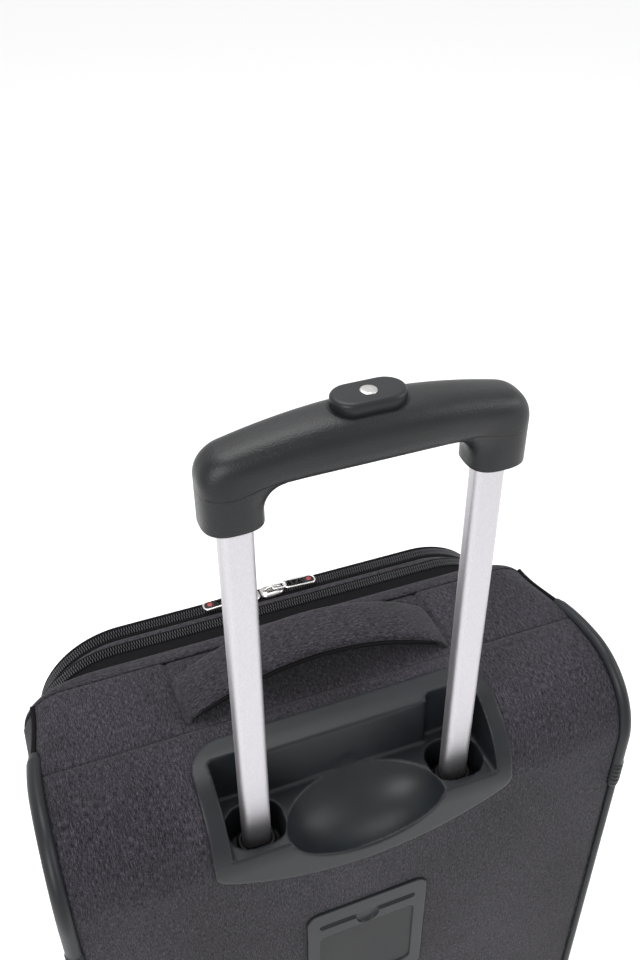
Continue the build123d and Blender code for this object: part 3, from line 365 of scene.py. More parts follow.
wrap_path = np.concatenate([
    line_points((SHOULDER_Y, TOP_Z), (BACK_Y - TOP_CORNER, TOP_Z)),
    arc_points((BACK_Y - TOP_CORNER, TOP_Z - TOP_CORNER), TOP_CORNER, 90, 0),
    line_points((BACK_Y, TOP_Z - TOP_CORNER), (BACK_Y, BOTTOM_Z + BOTTOM_CORNER)),
    arc_points((BACK_Y - BOTTOM_CORNER, BOTTOM_Z + BOTTOM_CORNER), BOTTOM_CORNER, 0, -90),
    line_points((BACK_Y - BOTTOM_CORNER, BOTTOM_Z), (SHOULDER_Y, BOTTOM_Z)),
    [(SHOULDER_Y, BOTTOM_Z)],
])
wrap_run = run_lengths(wrap_path)
TOP_SEAM_RUN = TOP_SEAM_Y - SHOULDER_Y
BOTTOM_SEAM_RUN = wrap_run[-1] - (BACK_Y - BOTTOM_CORNER - SHOULDER_Y)


def corner_radius(run):
    """How round the long edge is: crisp at the back, and rounder towards the front shoulder."""
    to_end = np.minimum(run, wrap_run[-1] - run)
    return 0.003 + (SHOULDER_RADIUS - 0.003) * smoothstep(1 - to_end / 0.085) ** 1.3


def wrap_place(run):
    """The wrap's place and outward direction in Y and Z at a distance along it."""
    y, z = (np.interp(run, wrap_run, wrap_path[:, k]) for k in range(2))
    ahead, behind = np.clip(run + 0.001, 0, wrap_run[-1]), np.clip(run - 0.001, 0, wrap_run[-1])
    ty = np.interp(ahead, wrap_run, wrap_path[:, 0]) - np.interp(behind, wrap_run, wrap_path[:, 0])
    tz = np.interp(ahead, wrap_run, wrap_path[:, 1]) - np.interp(behind, wrap_run, wrap_path[:, 1])
    length = np.hypot(ty, tz)
    return y, z, -tz / length, ty / length


TUCK_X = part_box("carry_handle")[1].x + 0.001
TUCK_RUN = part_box("carry_handle")[1].y - SHOULDER_Y


def wrap_sheet(start, end, crown, seed, tucks=0.0):
    """A sheet of the wrap: x times u across, the side profile along v, raised by a crown that falls to
    the piping, dipping at both seams, less the drop of the rounded long edge. Two tucks run from the
    front edge as far back as tucks says."""
    columns, rows = 221, max(24, int((end - start) / 0.0022))
    run, u = np.meshgrid(np.linspace(start, end, rows), np.linspace(-1, 1, columns), indexing="ij")
    radius = corner_radius(run)
    reach = HALF_WIDTH - CUT_BACK * radius
    x = np.sign(u) * (1 - (1 - np.abs(u)) ** 1.25) * reach
    y, z, ny, nz = wrap_place(run)
    over = np.clip(np.abs(x) - (HALF_WIDTH - radius), 0, radius)
    drop = radius - np.sqrt(np.maximum(radius**2 - over**2, 0))
    seam = np.minimum(run - start, end - run)
    lift = crown * (1 - (x / HALF_WIDTH) ** 4) * smoothstep(seam / 0.05) ** 0.5
    at_side = smoothstep((np.abs(x) - HALF_WIDTH + 0.008) / 0.006)
    lift = lift - 0.0009 * (1 - smoothstep(seam / 0.0028)) - 0.0016 * at_side
    inside = smoothstep(seam / 0.02) * smoothstep((reach - np.abs(x)) / 0.02)
    lift = lift + 0.0005 * waves(x, run, 0.022, seed) * inside
    if tucks:
        behind = smoothstep((run - tucks) / 0.01)
        lift = lift - (0.0011 * (1 - smoothstep((np.abs(np.abs(x) - TUCK_X) - 0.0004) / 0.0022))
                       + 0.0012 * (1 - smoothstep((np.abs(x) - TUCK_X + 0.001) / 0.004))) * (1 - behind)
    points = np.stack([x, y + ny * (lift - drop), z + nz * (lift - drop)], -1)
    return points, x, run


def side_sheet(sign):
    """A side panel: rings from its centre out to its edge, bulging in the middle and turning in to
    the piping all round."""
    back = np.stack([*wrap_place(np.linspace(0, wrap_run[-1], 420))[:2]], 1)
    front = line_points((SHOULDER_Y, BOTTOM_Z), (SHOULDER_Y, TOP_Z))
    radius = np.concatenate([corner_radius(np.linspace(0, wrap_run[-1], 420)), np.full(len(front), 0.003)])
    loop = np.concatenate([back, front])
    past = SHOULDER_RADIUS - (HALF_HEIGHT - np.abs(front[:, 1] - MIDDLE_Z))
    corner = SHOULDER_RADIUS - np.sqrt(SHOULDER_RADIUS**2 - np.clip(past, 0, 0.707 * SHOULDER_RADIUS) ** 2)
    edge_in = np.concatenate([CUT_BACK * radius[: len(back)], corner + 0.0008])
    middle = np.array([CASE_CENTRE[1], MIDDLE_Z])
    inward = middle - loop
    inward = inward / np.linalg.norm(inward, axis=1, keepdims=True)
    rise = np.sign(inward[:, 1]) * CUT_BACK * radius * (radius > 0.0031)
    edge = loop + np.stack([np.zeros(len(loop)), rise], 1)
    limit = HALF_HEIGHT - CUT_BACK * SHOULDER_RADIUS
    edge[len(back):, 1] = np.clip(edge[len(back):, 1], MIDDLE_Z - limit, MIDDLE_Z + limit)
    r = np.linspace(0.0, 1.0, 46)[:, None, None] ** 0.8
    plane = middle + r * (edge - middle)
    distance = np.linalg.norm(plane - edge, axis=-1)
    turn_in = edge_in * (1 - smoothstep(distance / np.maximum(2.4 * edge_in, 0.004))) ** 1.5
    x = HALF_WIDTH + 0.0035 * (1 - r[..., 0] ** 3) - turn_in - 0.0012 * (1 - smoothstep(distance / 0.006))
    x = x + 0.0004 * waves(plane[..., 0], plane[..., 1], 0.03, 5) * smoothstep(distance / 0.02)
    return np.stack([sign * x, plane[..., 0], plane[..., 1]], -1), plane


top_points, x, run = wrap_sheet(0.0, TOP_SEAM_RUN, 0.0016, 1, TUCK_RUN)
top_cloth = grid_piece("top_panel_cloth", top_points, uv=np.stack([x, run], -1), centre=CASE_CENTRE)
finish_piece(thicken(top_cloth, CLOTH_THICKNESS), "case", shell_fabric, "shell_fabric", "top_panel")
bottom_points, x, run = wrap_sheet(BOTTOM_SEAM_RUN, wrap_run[-1], 0.0008, 2)
bottom_cloth = grid_piece("bottom_panel_cloth", bottom_points, uv=np.stack([x, run], -1), centre=CASE_CENTRE)
finish_piece(thicken(bottom_cloth, CLOTH_THICKNESS), "case", shell_fabric, "shell_fabric", "bottom_panel")
back_points, x, run = wrap_sheet(TOP_SEAM_RUN, BOTTOM_SEAM_RUN, 0.0010, 3)
back_cloth = grid_piece("back_panel_cloth", back_points, uv=np.stack([x, run], -1), centre=CASE_CENTRE)
finish_piece(thicken(back_cloth, CLOTH_THICKNESS), "case", shell_fabric, "shell_fabric", "back_panel")
for side, sign in (("right", 1), ("left", -1)):
    points, plane = side_sheet(sign)
    cloth = np.concatenate([plane, plane[:, :1]], 1)
    panel = grid_piece(f"side_panel_{side}_cloth", points, around=True, uv=cloth, centre=CASE_CENTRE)
    merge_doubles(panel)
    finish_piece(thicken(panel, 0.0016), "case", shell_fabric, "shell_fabric", f"side_panel_{side}")

# ------------------------------------------------------------------ plastics, metals and webbing
# Moulded parts are dark grey plastic with a fine pebble; the trolley tubes are satin anodised
# aluminium, brushed along their length; zip tape and piping are black woven polyester.
def pebbled(name, colour, roughness, scale, strength, shine=0.24):
    """Moulded plastic: one colour that varies a little, with a fine raised grain."""
    plastic = new_material(name, Roughness=roughness, Specular_IOR_Level=shine)
    place = add_node(plastic, "TexCoord").outputs["Object"]
    grain = stretched_noise(plastic, place, (scale, scale, scale), 3.0, 0.6)
    patch = stretched_noise(plastic, place, (30, 30, 30), 2.0, 0.5)
    low, high = np.array(colour) * 0.85, np.array(colour) * 1.15
    shader_input(plastic, "Base Color", colour_ramp(plastic, patch, (0.35, low), (0.65, high)))
    shader_input(
        plastic, "Roughness", maths(plastic, "ADD", maths(plastic, "MULTIPLY", patch, 0.14), roughness - 0.07)
    )
    bumped(plastic, grain, strength, 0.0003)
    return plastic


def satin_metal(name, colour, roughness, stretch):
    """Metal with a fine grain: stretch is the noise scale on each axis."""
    metal = new_material(name, Metallic=1.0, Roughness=roughness)
    place = add_node(metal, "TexCoord").outputs["Object"]
    grain = stretched_noise(metal, place, stretch, 3.0, 0.65)
    low, high = np.array(colour) * 0.9, np.minimum(np.array(colour) * 1.08, 1.0)
    shader_input(metal, "Base Color", colour_ramp(metal, grain, (0.3, low), (0.7, high)))
    shader_input(metal, "Roughness", maths(metal, "ADD", maths(metal, "MULTIPLY", grain, 0.16),
                                           roughness - 0.08))
    bumped(metal, grain, 0.25, 0.0002)
    return metal


def woven(name, colour, scale):
    """Plain narrow cloth: a fine square weave on the piece's own U and V."""
    cloth = new_material(name, Roughness=0.9, Specular_IOR_Level=0.10)
    place = add_node(cloth, "UVMap", uv_map="cloth").outputs[0]
    along = stretched_noise(cloth, place, (scale * 0.25, scale * 1.4, 1), 2.0, 0.5)
    across = stretched_noise(cloth, place, (scale * 1.4, scale * 0.25, 1), 2.0, 0.5)
    thread = maths(cloth, "ADD", maths(cloth, "MULTIPLY", along, 0.5), maths(cloth, "MULTIPLY", across, 0.5))
    low, high = np.array(colour) * 0.55, np.array(colour) * 1.5
    shader_input(cloth, "Base Color", colour_ramp(cloth, thread, (0.38, low), (0.62, high)))
    bumped(cloth, thread, 0.6, 0.0004)
    return cloth


MATERIALS = {
    "shell_fabric": shell_fabric,
    "lining_fabric": woven("lining_fabric", (0.085, 0.085, 0.092), 1500),
    "zip_tape": woven("zip_tape", (0.0042, 0.0042, 0.0050), 1600),
    "moulded_plastic": pebbled("moulded_plastic", (0.0080, 0.0096, 0.0116), 0.40, 2600, 0.14),
    "grip_plastic": pebbled("grip_plastic", (0.0065, 0.0070, 0.0080), 0.40, 1500, 0.55),
    "button_plastic": pebbled("button_plastic", (0.010, 0.011, 0.012), 0.38, 2600, 0.12),
    "inner_plastic": pebbled("inner_plastic", (0.0038, 0.0038, 0.0044), 0.42, 2600, 0.12),
    "board_plastic": pebbled("board_plastic", (0.030, 0.030, 0.032), 0.6, 900, 0.3),
    "card_plastic": pebbled("card_plastic", (0.0060, 0.0066, 0.0074), 0.5, 1800, 0.05),
    "tube_aluminium": satin_metal("tube_aluminium", (0.53, 0.515, 0.54), 0.46, (2400, 2400, 500)),
    "bright_steel": satin_metal("bright_steel", (0.62, 0.62, 0.63), 0.26, (900, 900, 900)),
    "slider_metal": satin_metal("slider_metal", (0.50, 0.49, 0.48), 0.30, (1500, 1500, 1500)),
    "pull_metal": satin_metal("pull_metal", (0.60, 0.59, 0.58), 0.27, (1500, 1500, 1500)),
    "tyre_rubber": pebbled("tyre_rubber", (0.012, 0.012, 0.012), 0.72, 1400, 0.4),
    "hub_plastic": pebbled("hub_plastic", (0.045, 0.046, 0.049), 0.45, 2000, 0.15),
    "bearing_steel": satin_metal("bearing_steel", (0.58, 0.58, 0.59), 0.24, (700, 700, 700)),
}
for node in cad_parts.values():
    for held in node.material_slots:
        if held.material.name.split(".")[0] in MATERIALS:
            held.material = MATERIALS[held.material.name.split(".")[0]]


def soft_copy(name, node, body, slot, voxel=0.0012, smooth=4):
    """A moulded part as it leaves its mould, with every edge a little rounded: the node's form
    remeshed in fine cells and relaxed."""
    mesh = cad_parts[node].data.copy()
    piece = bpy.data.objects.new(name, mesh)
    bpy.context.scene.collection.objects.link(piece)
    merge_doubles(piece)
    remesh = piece.modifiers.new("cells", "REMESH")
    remesh.mode = "VOXEL"
    remesh.voxel_size = voxel
    remesh.use_smooth_shade = True
    relax = piece.modifiers.new("relax", "SMOOTH")
    relax.factor = 0.5
    relax.iterations = smooth
    shaped = bpy.data.meshes.new_from_object(piece.evaluated_get(bpy.context.evaluated_depsgraph_get()))
    piece.modifiers.clear()
    piece.data = shaped
    return finish_piece(piece, body, MATERIALS[slot], slot, node)


def cut_faces(piece, inside):
    """Removes the faces whose middles the test finds inside."""
    mesh = bmesh.new()
    mesh.from_mesh(piece.data)
    gone = [face for face in mesh.faces if inside(*face.calc_center_median())]
    bmesh.ops.delete(mesh, geom=gone, context="FACES")
    mesh.to_mesh(piece.data)
    mesh.free()


# ------------------------------------------------------------------ handle well and its bezel
# One dark moulding: a bezel sewn round its edge, a pocket with a flat floor, a leg pocket round each
# tube and an oval finger scoop that runs out over the back. The cloth under it is cut away.
WELL_LOW, WELL_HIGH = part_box("handle_well")
APRON = [(0.0, 0.487), (0.047, 0.4965), (0.088, 0.510), (0.1, 0.512)]


def under_bezel(x, y, z):
    """Inside the bezel's outline by a few millimetres, over the top and down the back."""
    lowest = np.interp(abs(x), [p[0] for p in APRON], [p[1] for p in APRON]) + 0.006
    return abs(x) < WELL_HIGH.x - 0.007 and y > WELL_LOW.y + 0.007 and z > lowest


cut_faces(back_cloth, under_bezel)
soft_copy("well_moulding", "handle_well", "case", "moulded_plastic", 0.0011, 5)

# ------------------------------------------------------------------ address frame on the back
# A moulded frame sewn to the back with a thumb slot over a clear pocket and a blank card.
FRAME_LOW, FRAME_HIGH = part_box("id_frame")
FRAME_LAP = 0.006  # how far the frame covers the cloth's cut edge


def under_frame(x, y, z):
    """On the back face, inside the frame's outline by its lap."""
    beside = abs(x) < FRAME_HIGH.x - FRAME_LAP
    return beside and FRAME_LOW.z + FRAME_LAP < z < FRAME_HIGH.z - FRAME_LAP and y > 0.09


cut_faces(back_cloth, under_frame)
soft_copy("address_frame", "id_frame", "case", "moulded_plastic", 0.0006, 4)

# ------------------------------------------------------------------ piping and corner guards
# A welt runs round each side where the panels meet: thin black cloth ahead of the guard, and a
# thick ribbed plastic edge behind it and down the back. The guard is a sleeve over the top corner.
GUARD_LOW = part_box("corner_guards")[0]
THIN_WELT = 0.0016
THICK_WELT = 0.0028
GUARD_START = GUARD_LOW.y - SHOULDER_Y
GUARD_END = wrap_run[np.argmax((wrap_path[:, 0] > BACK_Y - 0.001) & (wrap_path[:, 1] < GUARD_LOW.z))]


def welt_line(start, end, sign, step=0.003):
    """The line where a side meets the wrap, and the direction straight out of that edge."""
    run = np.linspace(start, end, max(8, int((end - start) / step)))
    y, z, ny, nz = wrap_place(run)
    inset = CUT_BACK * corner_radius(run)
    path = np.stack([sign * (HALF_WIDTH - inset + 0.0006), y + ny * (0.0006 - inset),
                     z + nz * (0.0006 - inset)], 1)
    out = np.stack([np.full(len(run), sign * 1.0), ny, nz], 1) / math.sqrt(2)
    return path, out, run


for side, sign in (("right", 1), ("left", -1)):
    path, out, run = welt_line(0.0, GUARD_START + 0.004, sign)
    welt = tube_piece(f"welt_cloth_{side}", path, out, ellipse(THIN_WELT, THIN_WELT), uv=True)
    finish_piece(welt, "case", MATERIALS["zip_tape"], "zip_tape")
    path, out, run = welt_line(GUARD_START, wrap_run[-1], sign)
    grow = np.where(run > GUARD_END, 1.0, 0.97)[:, None, None]
    full = smoothstep((wrap_run[-1] - run) / 0.03)[:, None, None]
    tail = THIN_WELT / THICK_WELT + (1 - THIN_WELT / THICK_WELT) * full
    section = ellipse(THICK_WELT, THICK_WELT, 14)[None] * grow * tail
    welt = tube_piece(f"welt_edge_{side}", path, out, section)
    finish_piece(welt, "case", MATERIALS["moulded_plastic"], "moulded_plastic",
                 *(["side_piping"] if sign == 1 else []))
    path, out, run = welt_line(GUARD_START, GUARD_END, sign, 0.0008)
    s = np.minimum(run - run[0], run[-1] - run)
    rib = 0.0006 * (np.sin((run - run[0]) * 2 * math.pi / 0.0042) > -0.2) * (run > run[-1] - 0.024)
    size = 0.0034 + 0.0008 * smoothstep(s / 0.006) + rib
    section = ellipse(1.0, 1.0, 18, 2.3)[None] * np.stack([size, size * 1.18], 1)[:, None]
    guard = tube_piece(f"corner_guard_{side}", path - out * 0.0008, out, section)
    finish_piece(guard, "case", MATERIALS["moulded_plastic"], "moulded_plastic",
                 *(["corner_guards"] if sign == 1 else []))

# ------------------------------------------------------------------ front flange and the zipped rim
# The case's front edge turns in over a rounded shoulder to a black zip tape. The expansion zip, a
# heather band and the main zip follow as rounded rings, each a little smaller than the last.
RIM_HALF_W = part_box("expansion_zip_rear")[1].x
RIM_HALF_H = (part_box("expansion_zip_rear")[1].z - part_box("expansion_zip_rear")[0].z) / 2
RIM_RADIUS = 0.064
RIM_CENTRE = (0, 0.02, MIDDLE_Z)
FLANGE_Y = SHOULDER_Y - 0.013
EXPANSION_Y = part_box("expansion_zip_rear")[0].y
BAND_LOW, BAND_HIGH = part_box("rim_band")
MAIN_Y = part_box("main_zip_rear")[0].y
LID_REAR_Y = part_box("lid_zip")[0].y
LID_FRONT_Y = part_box("lid_panel")[0].y


def ring(inset, radius=None, narrow=0.0):
    """A rounded rectangle as seen from the front, inset from the rim and narrower again at each side:
    its points in X and Z and its outward directions, always as many so that rings can be joined."""
    radius = RIM_RADIUS - inset if radius is None else radius
    half = np.array([RIM_HALF_W - inset - narrow, RIM_HALF_H - inset])
    points, outward = [], []
    for quarter, (sx, sz) in enumerate(((1, 1), (-1, 1), (-1, -1), (1, -1))):
        angle = np.radians(90 * quarter + np.linspace(0, 90, 33))
        turn = np.stack([np.cos(angle), np.sin(angle)], 1)
        points.append((half - radius) * [sx, sz] + radius * turn)
        outward.append(turn)
        next_corner = ((-1, 1), (-1, -1), (1, -1), (1, 1))[quarter]
        end = (half - radius) * next_corner + radius * turn[-1]
        count = 48 if quarter % 2 == 0 else 80
        points.append(np.linspace(points[-1][-1], end, count + 2)[1:-1])
        outward.append(np.broadcast_to(turn[-1], (count, 2)))
    points = np.concatenate(points) + [0.0, MIDDLE_Z]
    return points, np.concatenate(outward)


def ring_sheet(name, profile):
    """A sheet round the rim: profile is (inset, y) pairs from rear to front, and how much narrower."""
    rows = []
    for inset, y, *narrow in profile:
        points, _ = ring(inset, None, *narrow)
        rows.append(np.stack([points[:, 0], np.full(len(points), y), points[:, 1]], 1))
    points = np.stack(rows)
    s = run_lengths(np.concatenate([points[0], points[0][:1]]))
    across = run_lengths(np.array([[p[0], p[1]] for p in profile]))
    cloth = np.stack(np.meshgrid(across, s, indexing="ij"), -1)
    return grid_piece(name, points, around=True, uv=cloth, centre=RIM_CENTRE)


flange_rows = []
run = np.linspace(0, 1, 13)
outer_points, _ = ring(-(HALF_WIDTH - RIM_HALF_W), SHOULDER_RADIUS)
inner_points, _ = ring(0.0)
for t in run:
    mixed = inner_points + (outer_points - inner_points) * math.cos(t * math.pi / 2)
    y = SHOULDER_Y + (FLANGE_Y - SHOULDER_Y) * math.sin(t * math.pi / 2)
    flange_rows.append(np.stack([mixed[:, 0], np.full(len(mixed), y), mixed[:, 1]], 1))
flange_points = np.stack(flange_rows)
s = run_lengths(np.concatenate([flange_points[0], flange_points[0][:1]]))
flange = grid_piece(
    "flange_cloth", flange_points, around=True, centre=RIM_CENTRE,
    uv=np.stack(np.meshgrid(run * 0.02, s, indexing="ij"), -1),
)
finish_piece(thicken(flange, 0.0015), "case", shell_fabric, "shell_fabric", "front_flange")

TAPE = MATERIALS["zip_tape"]
COIL_HALF = 0.0036
NARROW = 0.0065  # how much narrower the main zip's ring is at each side
tape = ring_sheet("expansion_tape_rear", [(0.0020, FLANGE_Y + 0.002), (0.0006, FLANGE_Y + 0.0004),
                  (0.0002, FLANGE_Y - 0.0016), (0.0006, EXPANSION_Y + COIL_HALF + 0.001),
                  (0.0010, EXPANSION_Y + 0.0008)])
finish_piece(thicken(tape, 0.0010), "case", TAPE, "zip_tape", "expansion_zip_rear")
tape = ring_sheet("expansion_tape_front", [(0.0010, EXPANSION_Y - 0.0012), (0.0006, EXPANSION_Y - COIL_HALF),
                  (0.0006, BAND_HIGH.y - 0.0004)])
finish_piece(thicken(tape, 0.0010), "front_rim", TAPE, "zip_tape", "expansion_zip_front")
band = ring_sheet("rim_band_cloth", [(0.0014, BAND_HIGH.y + 0.0010, 0.0), (0.0002, BAND_HIGH.y + 0.0008, 0.0),
                  (-0.0004, BAND_HIGH.y - 0.0004, 0.0004), (0.0000, BAND_HIGH.y - 0.0022, 0.0020),
                  (0.0006, BAND_HIGH.y - 0.0040, 0.0040), (0.0012, BAND_LOW.y + 0.0002, 0.0058),
                  (0.0018, BAND_LOW.y - 0.0004, NARROW), (0.0026, BAND_LOW.y + 0.0008, NARROW)])
finish_piece(thicken(band, 0.0012), "front_rim", shell_fabric, "shell_fabric", "rim_band")
tape = ring_sheet("main_tape_rear", [(0.0026, BAND_LOW.y + 0.0012, NARROW),
                                     (0.0020, BAND_LOW.y - 0.0008, NARROW),
                  (0.0012, MAIN_Y + 0.0036, NARROW), (0.0014, MAIN_Y + 0.0006, NARROW)])
finish_piece(thicken(tape, 0.0010), "front_rim", TAPE, "zip_tape", "main_zip_rear")
tape = ring_sheet("lid_tape", [(0.0014, MAIN_Y - 0.0010, NARROW), (0.0012, MAIN_Y - 0.0036, NARROW),
                  (0.0018, LID_REAR_Y - 0.0004, NARROW), (0.0032, LID_REAR_Y - 0.0006, NARROW)])
finish_piece(thicken(tape, 0.0010), "lid", TAPE, "zip_tape", "lid_zip")
for name, inset, y, narrow, body in (("band_welt_rear", 0.0002, BAND_HIGH.y + 0.0006, 0.0, "front_rim"),
                                     ("band_welt_front", 0.0010, BAND_LOW.y - 0.0006, NARROW, "front_rim"),
                                     ("tape_stitch", -0.0001, FLANGE_Y - 0.0006, 0.0, "case")):
    points, outward = ring(inset, None, narrow)
    path = np.stack([points[:, 0], np.full(len(points), y), points[:, 1]], 1)
    normals = np.stack([outward[:, 0], np.zeros(len(points)), outward[:, 1]], 1)
    cord = tube_piece(name, path, normals, ellipse(0.0009, 0.0009, 8), closed=True, uv=True)
    finish_piece(cord, body, TAPE, "zip_tape")


def repeat_form(name, form, faces, origins, axes, smooth=True):
    """One mesh of many copies of a small form, one at each origin along its own three axes."""
    points = origins[:, None] + np.einsum("pk,nkd->npd", form, axes)
    shift = (np.arange(len(origins)) * len(form))[:, None]
    quads = (faces[None] + shift[..., None]).reshape(-1, faces.shape[1])
    mesh = bpy.data.meshes.new(name)
    mesh.from_pydata(points.reshape(-1, 3).tolist(), [], quads.tolist())
    mesh.polygons.foreach_set("use_smooth", np.full(len(quads), smooth))
    piece = bpy.data.objects.new(name, mesh)
    bpy.context.scene.collection.objects.link(piece)
    return piece


def capsule(length, width, height, rings=4, count=6):
    """A short rounded bar along its first axis: its points and its quads."""
    t = np.linspace(-1, 1, rings + 2)
    swell = np.maximum(1 - np.abs(t) ** 4, 0.0) ** 0.5
    swell[[0, -1]] = 0.35
    angle = np.linspace(0, 2 * math.pi, count, endpoint=False)
    points = np.stack([
        np.repeat(t * length / 2, count),
        (swell[:, None] * np.cos(angle) * width / 2).ravel(),
        (swell[:, None] * np.sin(angle) * height / 2).ravel(),
    ], 1)
    i, j = np.meshgrid(np.arange(rings + 1), np.arange(count), indexing="ij")
    i, j = i.ravel(), j.ravel()
    k = (j + 1) % count
    return points, np.stack([i * count + j, i * count + k, (i + 1) * count + k, (i + 1) * count + j], 1)


COIL_PITCH = 0.0018
coil_form, coil_faces = capsule(COIL_HALF + 0.0003, 0.00095, 0.0026)


# The coil teeth are a lighter grey than the black tape. This is partly the nylon's own tone and partly a
# painted highlight: the colour is raised, with almost no specular, so that the ribs read as lit.
coil_nylon = pebbled("coil_nylon", (0.034, 0.034, 0.037), 0.34, 2600, 0.05)


def coil_row(name, inset, narrow, y, sign, half_step, skip_hinge, body):
    """One row of a nylon coil round the rim, reaching from the middle of the zip to one side."""
    points, outward = ring(inset, None, narrow)
    loop, out = np.concatenate([points, points[:1]]), np.concatenate([outward, outward[:1]])
    s = run_lengths(loop)
    count = int(s[-1] / COIL_PITCH)
    t = (np.arange(count) + (0.5 if half_step else 0.0)) * s[-1] / count
    x, z, ox, oz = (np.interp(t, s, column) for column in (loop[:, 0], loop[:, 1], out[:, 0], out[:, 1]))
    keep = np.full(count, True)
    if skip_hinge:
        keep = ~((x < -RIM_HALF_W + 0.014) & (np.abs(z - MIDDLE_Z) < RIM_HALF_H - RIM_RADIUS))
    x, z, ox, oz = x[keep], z[keep], ox[keep], oz[keep]
    out = np.stack([ox, 0 * ox, oz], 1)
    forward = np.broadcast_to([0.0, 1.0, 0.0], out.shape)
    origins = np.stack([x, np.full(len(x), y + sign * COIL_HALF / 2), z], 1) + out * 0.0007
    row = repeat_form(name, coil_form, coil_faces, origins,
                      np.stack([forward, np.cross(out, forward), out], 1))
    return finish_piece(row, body, coil_nylon, "inner_plastic")


EXPANSION_COIL_Y = EXPANSION_Y - 0.0002
MAIN_COIL_Y = MAIN_Y - 0.0002
coil_row("expansion_coil_rear", 0.0006, 0.0, EXPANSION_COIL_Y, 1, False, False, "case")
coil_row("expansion_coil_front", 0.0006, 0.0, EXPANSION_COIL_Y, -1, True, False, "front_rim")
coil_row("main_coil_rear", 0.0010, NARROW, MAIN_COIL_Y, 1, False, True, "front_rim")
coil_row("main_coil_front", 0.0010, NARROW, MAIN_COIL_Y, -1, True, True, "lid")

# ------------------------------------------------------------------ lid and its two pockets
# The lid is a padded panel in heather cloth, bound with a welt. Two pockets are sewn on it, each a
# softly filled cushion with a welt at its foot and a zip across its top.
LID_CROWN = 0.0022


def padded_front(name, half_w, half_h, corner, centre_x, centre_z, rear_y, depth, crown, soft):
    """A cushion seen from the front: rounded-rectangle rings that rise from the sewn edge over a soft
    shoulder to a crowned face."""
    t = np.concatenate([np.linspace(0, 1, 14), 1 + np.linspace(0, 1, 26)[1:]])
    rows = []
    for value in t:
        turn = min(value, 1.0) * math.pi / 2
        inset = soft * (1 - math.cos(turn))
        rise = depth * math.sin(turn) ** 0.8 if turn > 0 else 0.0
        shrink = 1.0 - max(value - 1.0, 0.0)
        radius = max(corner - inset, 0.002)
        half = np.array([half_w - inset, half_h - inset])
        outline = []
        for quarter, (sx, sz) in enumerate(((1, 1), (-1, 1), (-1, -1), (1, -1))):
            angle = np.radians(90 * quarter + np.linspace(0, 90, 13))
            outline.append((half - radius) * [sx, sz] + radius * np.stack([np.cos(angle), np.sin(angle)], 1))
            turn_end = outline[-1][-1]
            sx2, sz2 = ((-1, 1), (-1, -1), (1, -1), (1, 1))[quarter]
            last = np.radians(90 * (quarter + 1))
            end = (half - radius) * [sx2, sz2] + radius * np.array([math.cos(last), math.sin(last)])
            outline.append(np.linspace(turn_end, end, 26)[1:-1])
        outline = np.concatenate(outline) * shrink
        dome = (1 - (outline[:, 0] / half_w) ** 2) * (1 - (outline[:, 1] / half_h) ** 2)
        bulge = crown * dome * min(value, 1.0)
        uneven = 0.0007 * waves(outline[:, 0], outline[:, 1], 0.035, 11) * smoothstep((value - 0.6) / 0.8)
        y = rear_y - rise - bulge - uneven
        rows.append(np.stack([centre_x + outline[:, 0], y, centre_z + outline[:, 1]], 1))
    points = np.stack(rows)
    flat = points[..., [0, 2]] - [centre_x, centre_z]
    reach = np.maximum(np.linalg.norm(flat, axis=-1, keepdims=True), 1e-6)
    flat = flat + flat / reach * (points[..., 1:2] - (rear_y - depth))
    piece = grid_piece(name, points, around=True, uv=flat, centre=(centre_x, rear_y + 0.2, centre_z))
    merge_doubles(piece)
    return piece


def welt_round(name, half_w, half_h, corner, centre_x, centre_z, y, size, body):
    """A piped edge: a thin cord round a rounded rectangle."""
    angle = np.linspace(0, 2 * math.pi, 240, endpoint=False)
    turn = np.stack([np.cos(angle), np.sin(angle)], 1)
    path = np.sign(turn) * np.maximum([half_w - corner, half_h - corner], 0) + corner * turn
    path = resample(np.concatenate([path, path[:1]]), 401)[:-1]
    path = np.stack([centre_x + path[:, 0], np.full(400, y), centre_z + path[:, 1]], 1)
    normals = np.broadcast_to([0.0, -1.0, 0.0], path.shape)
    cord = tube_piece(name, path, normals, ellipse(size, size, 10), closed=True, uv=True)
    return finish_piece(cord, body, TAPE, "zip_tape")


lid = padded_front("lid_cloth", RIM_HALF_W - 0.0026 - NARROW, RIM_HALF_H - 0.0026, RIM_RADIUS - 0.0026, 0.0,
                   MIDDLE_Z,
                   LID_REAR_Y + 0.0002, LID_REAR_Y - LID_FRONT_Y, LID_CROWN * 0.3, 0.006)
finish_piece(lid, "lid", shell_fabric, "shell_fabric", "lid_panel")
welt_round("lid_welt", RIM_HALF_W - 0.0016 - NARROW, RIM_HALF_H - 0.0016, RIM_RADIUS - 0.0016, 0.0, MIDDLE_Z,
           LID_REAR_Y - 0.0008, 0.0017, "lid")
for pocket in ("upper_pocket", "lower_pocket"):
    low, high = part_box(pocket)
    half_w, half_h = high.x, (high.z - low.z) / 2
    middle = (low.z + high.z) / 2
    cushion = padded_front(f"{pocket}_cloth", half_w, half_h, 0.026, 0.0, middle, high.y + 0.0006,
                           high.y - low.y, 0.0016, 0.011)
    finish_piece(cushion, "lid", shell_fabric, "shell_fabric", pocket)
    welt_round(f"{pocket}_welt", half_w + 0.0006, half_h + 0.0006, 0.0266, 0.0, middle, high.y - 0.0008,
               0.0017, "lid")

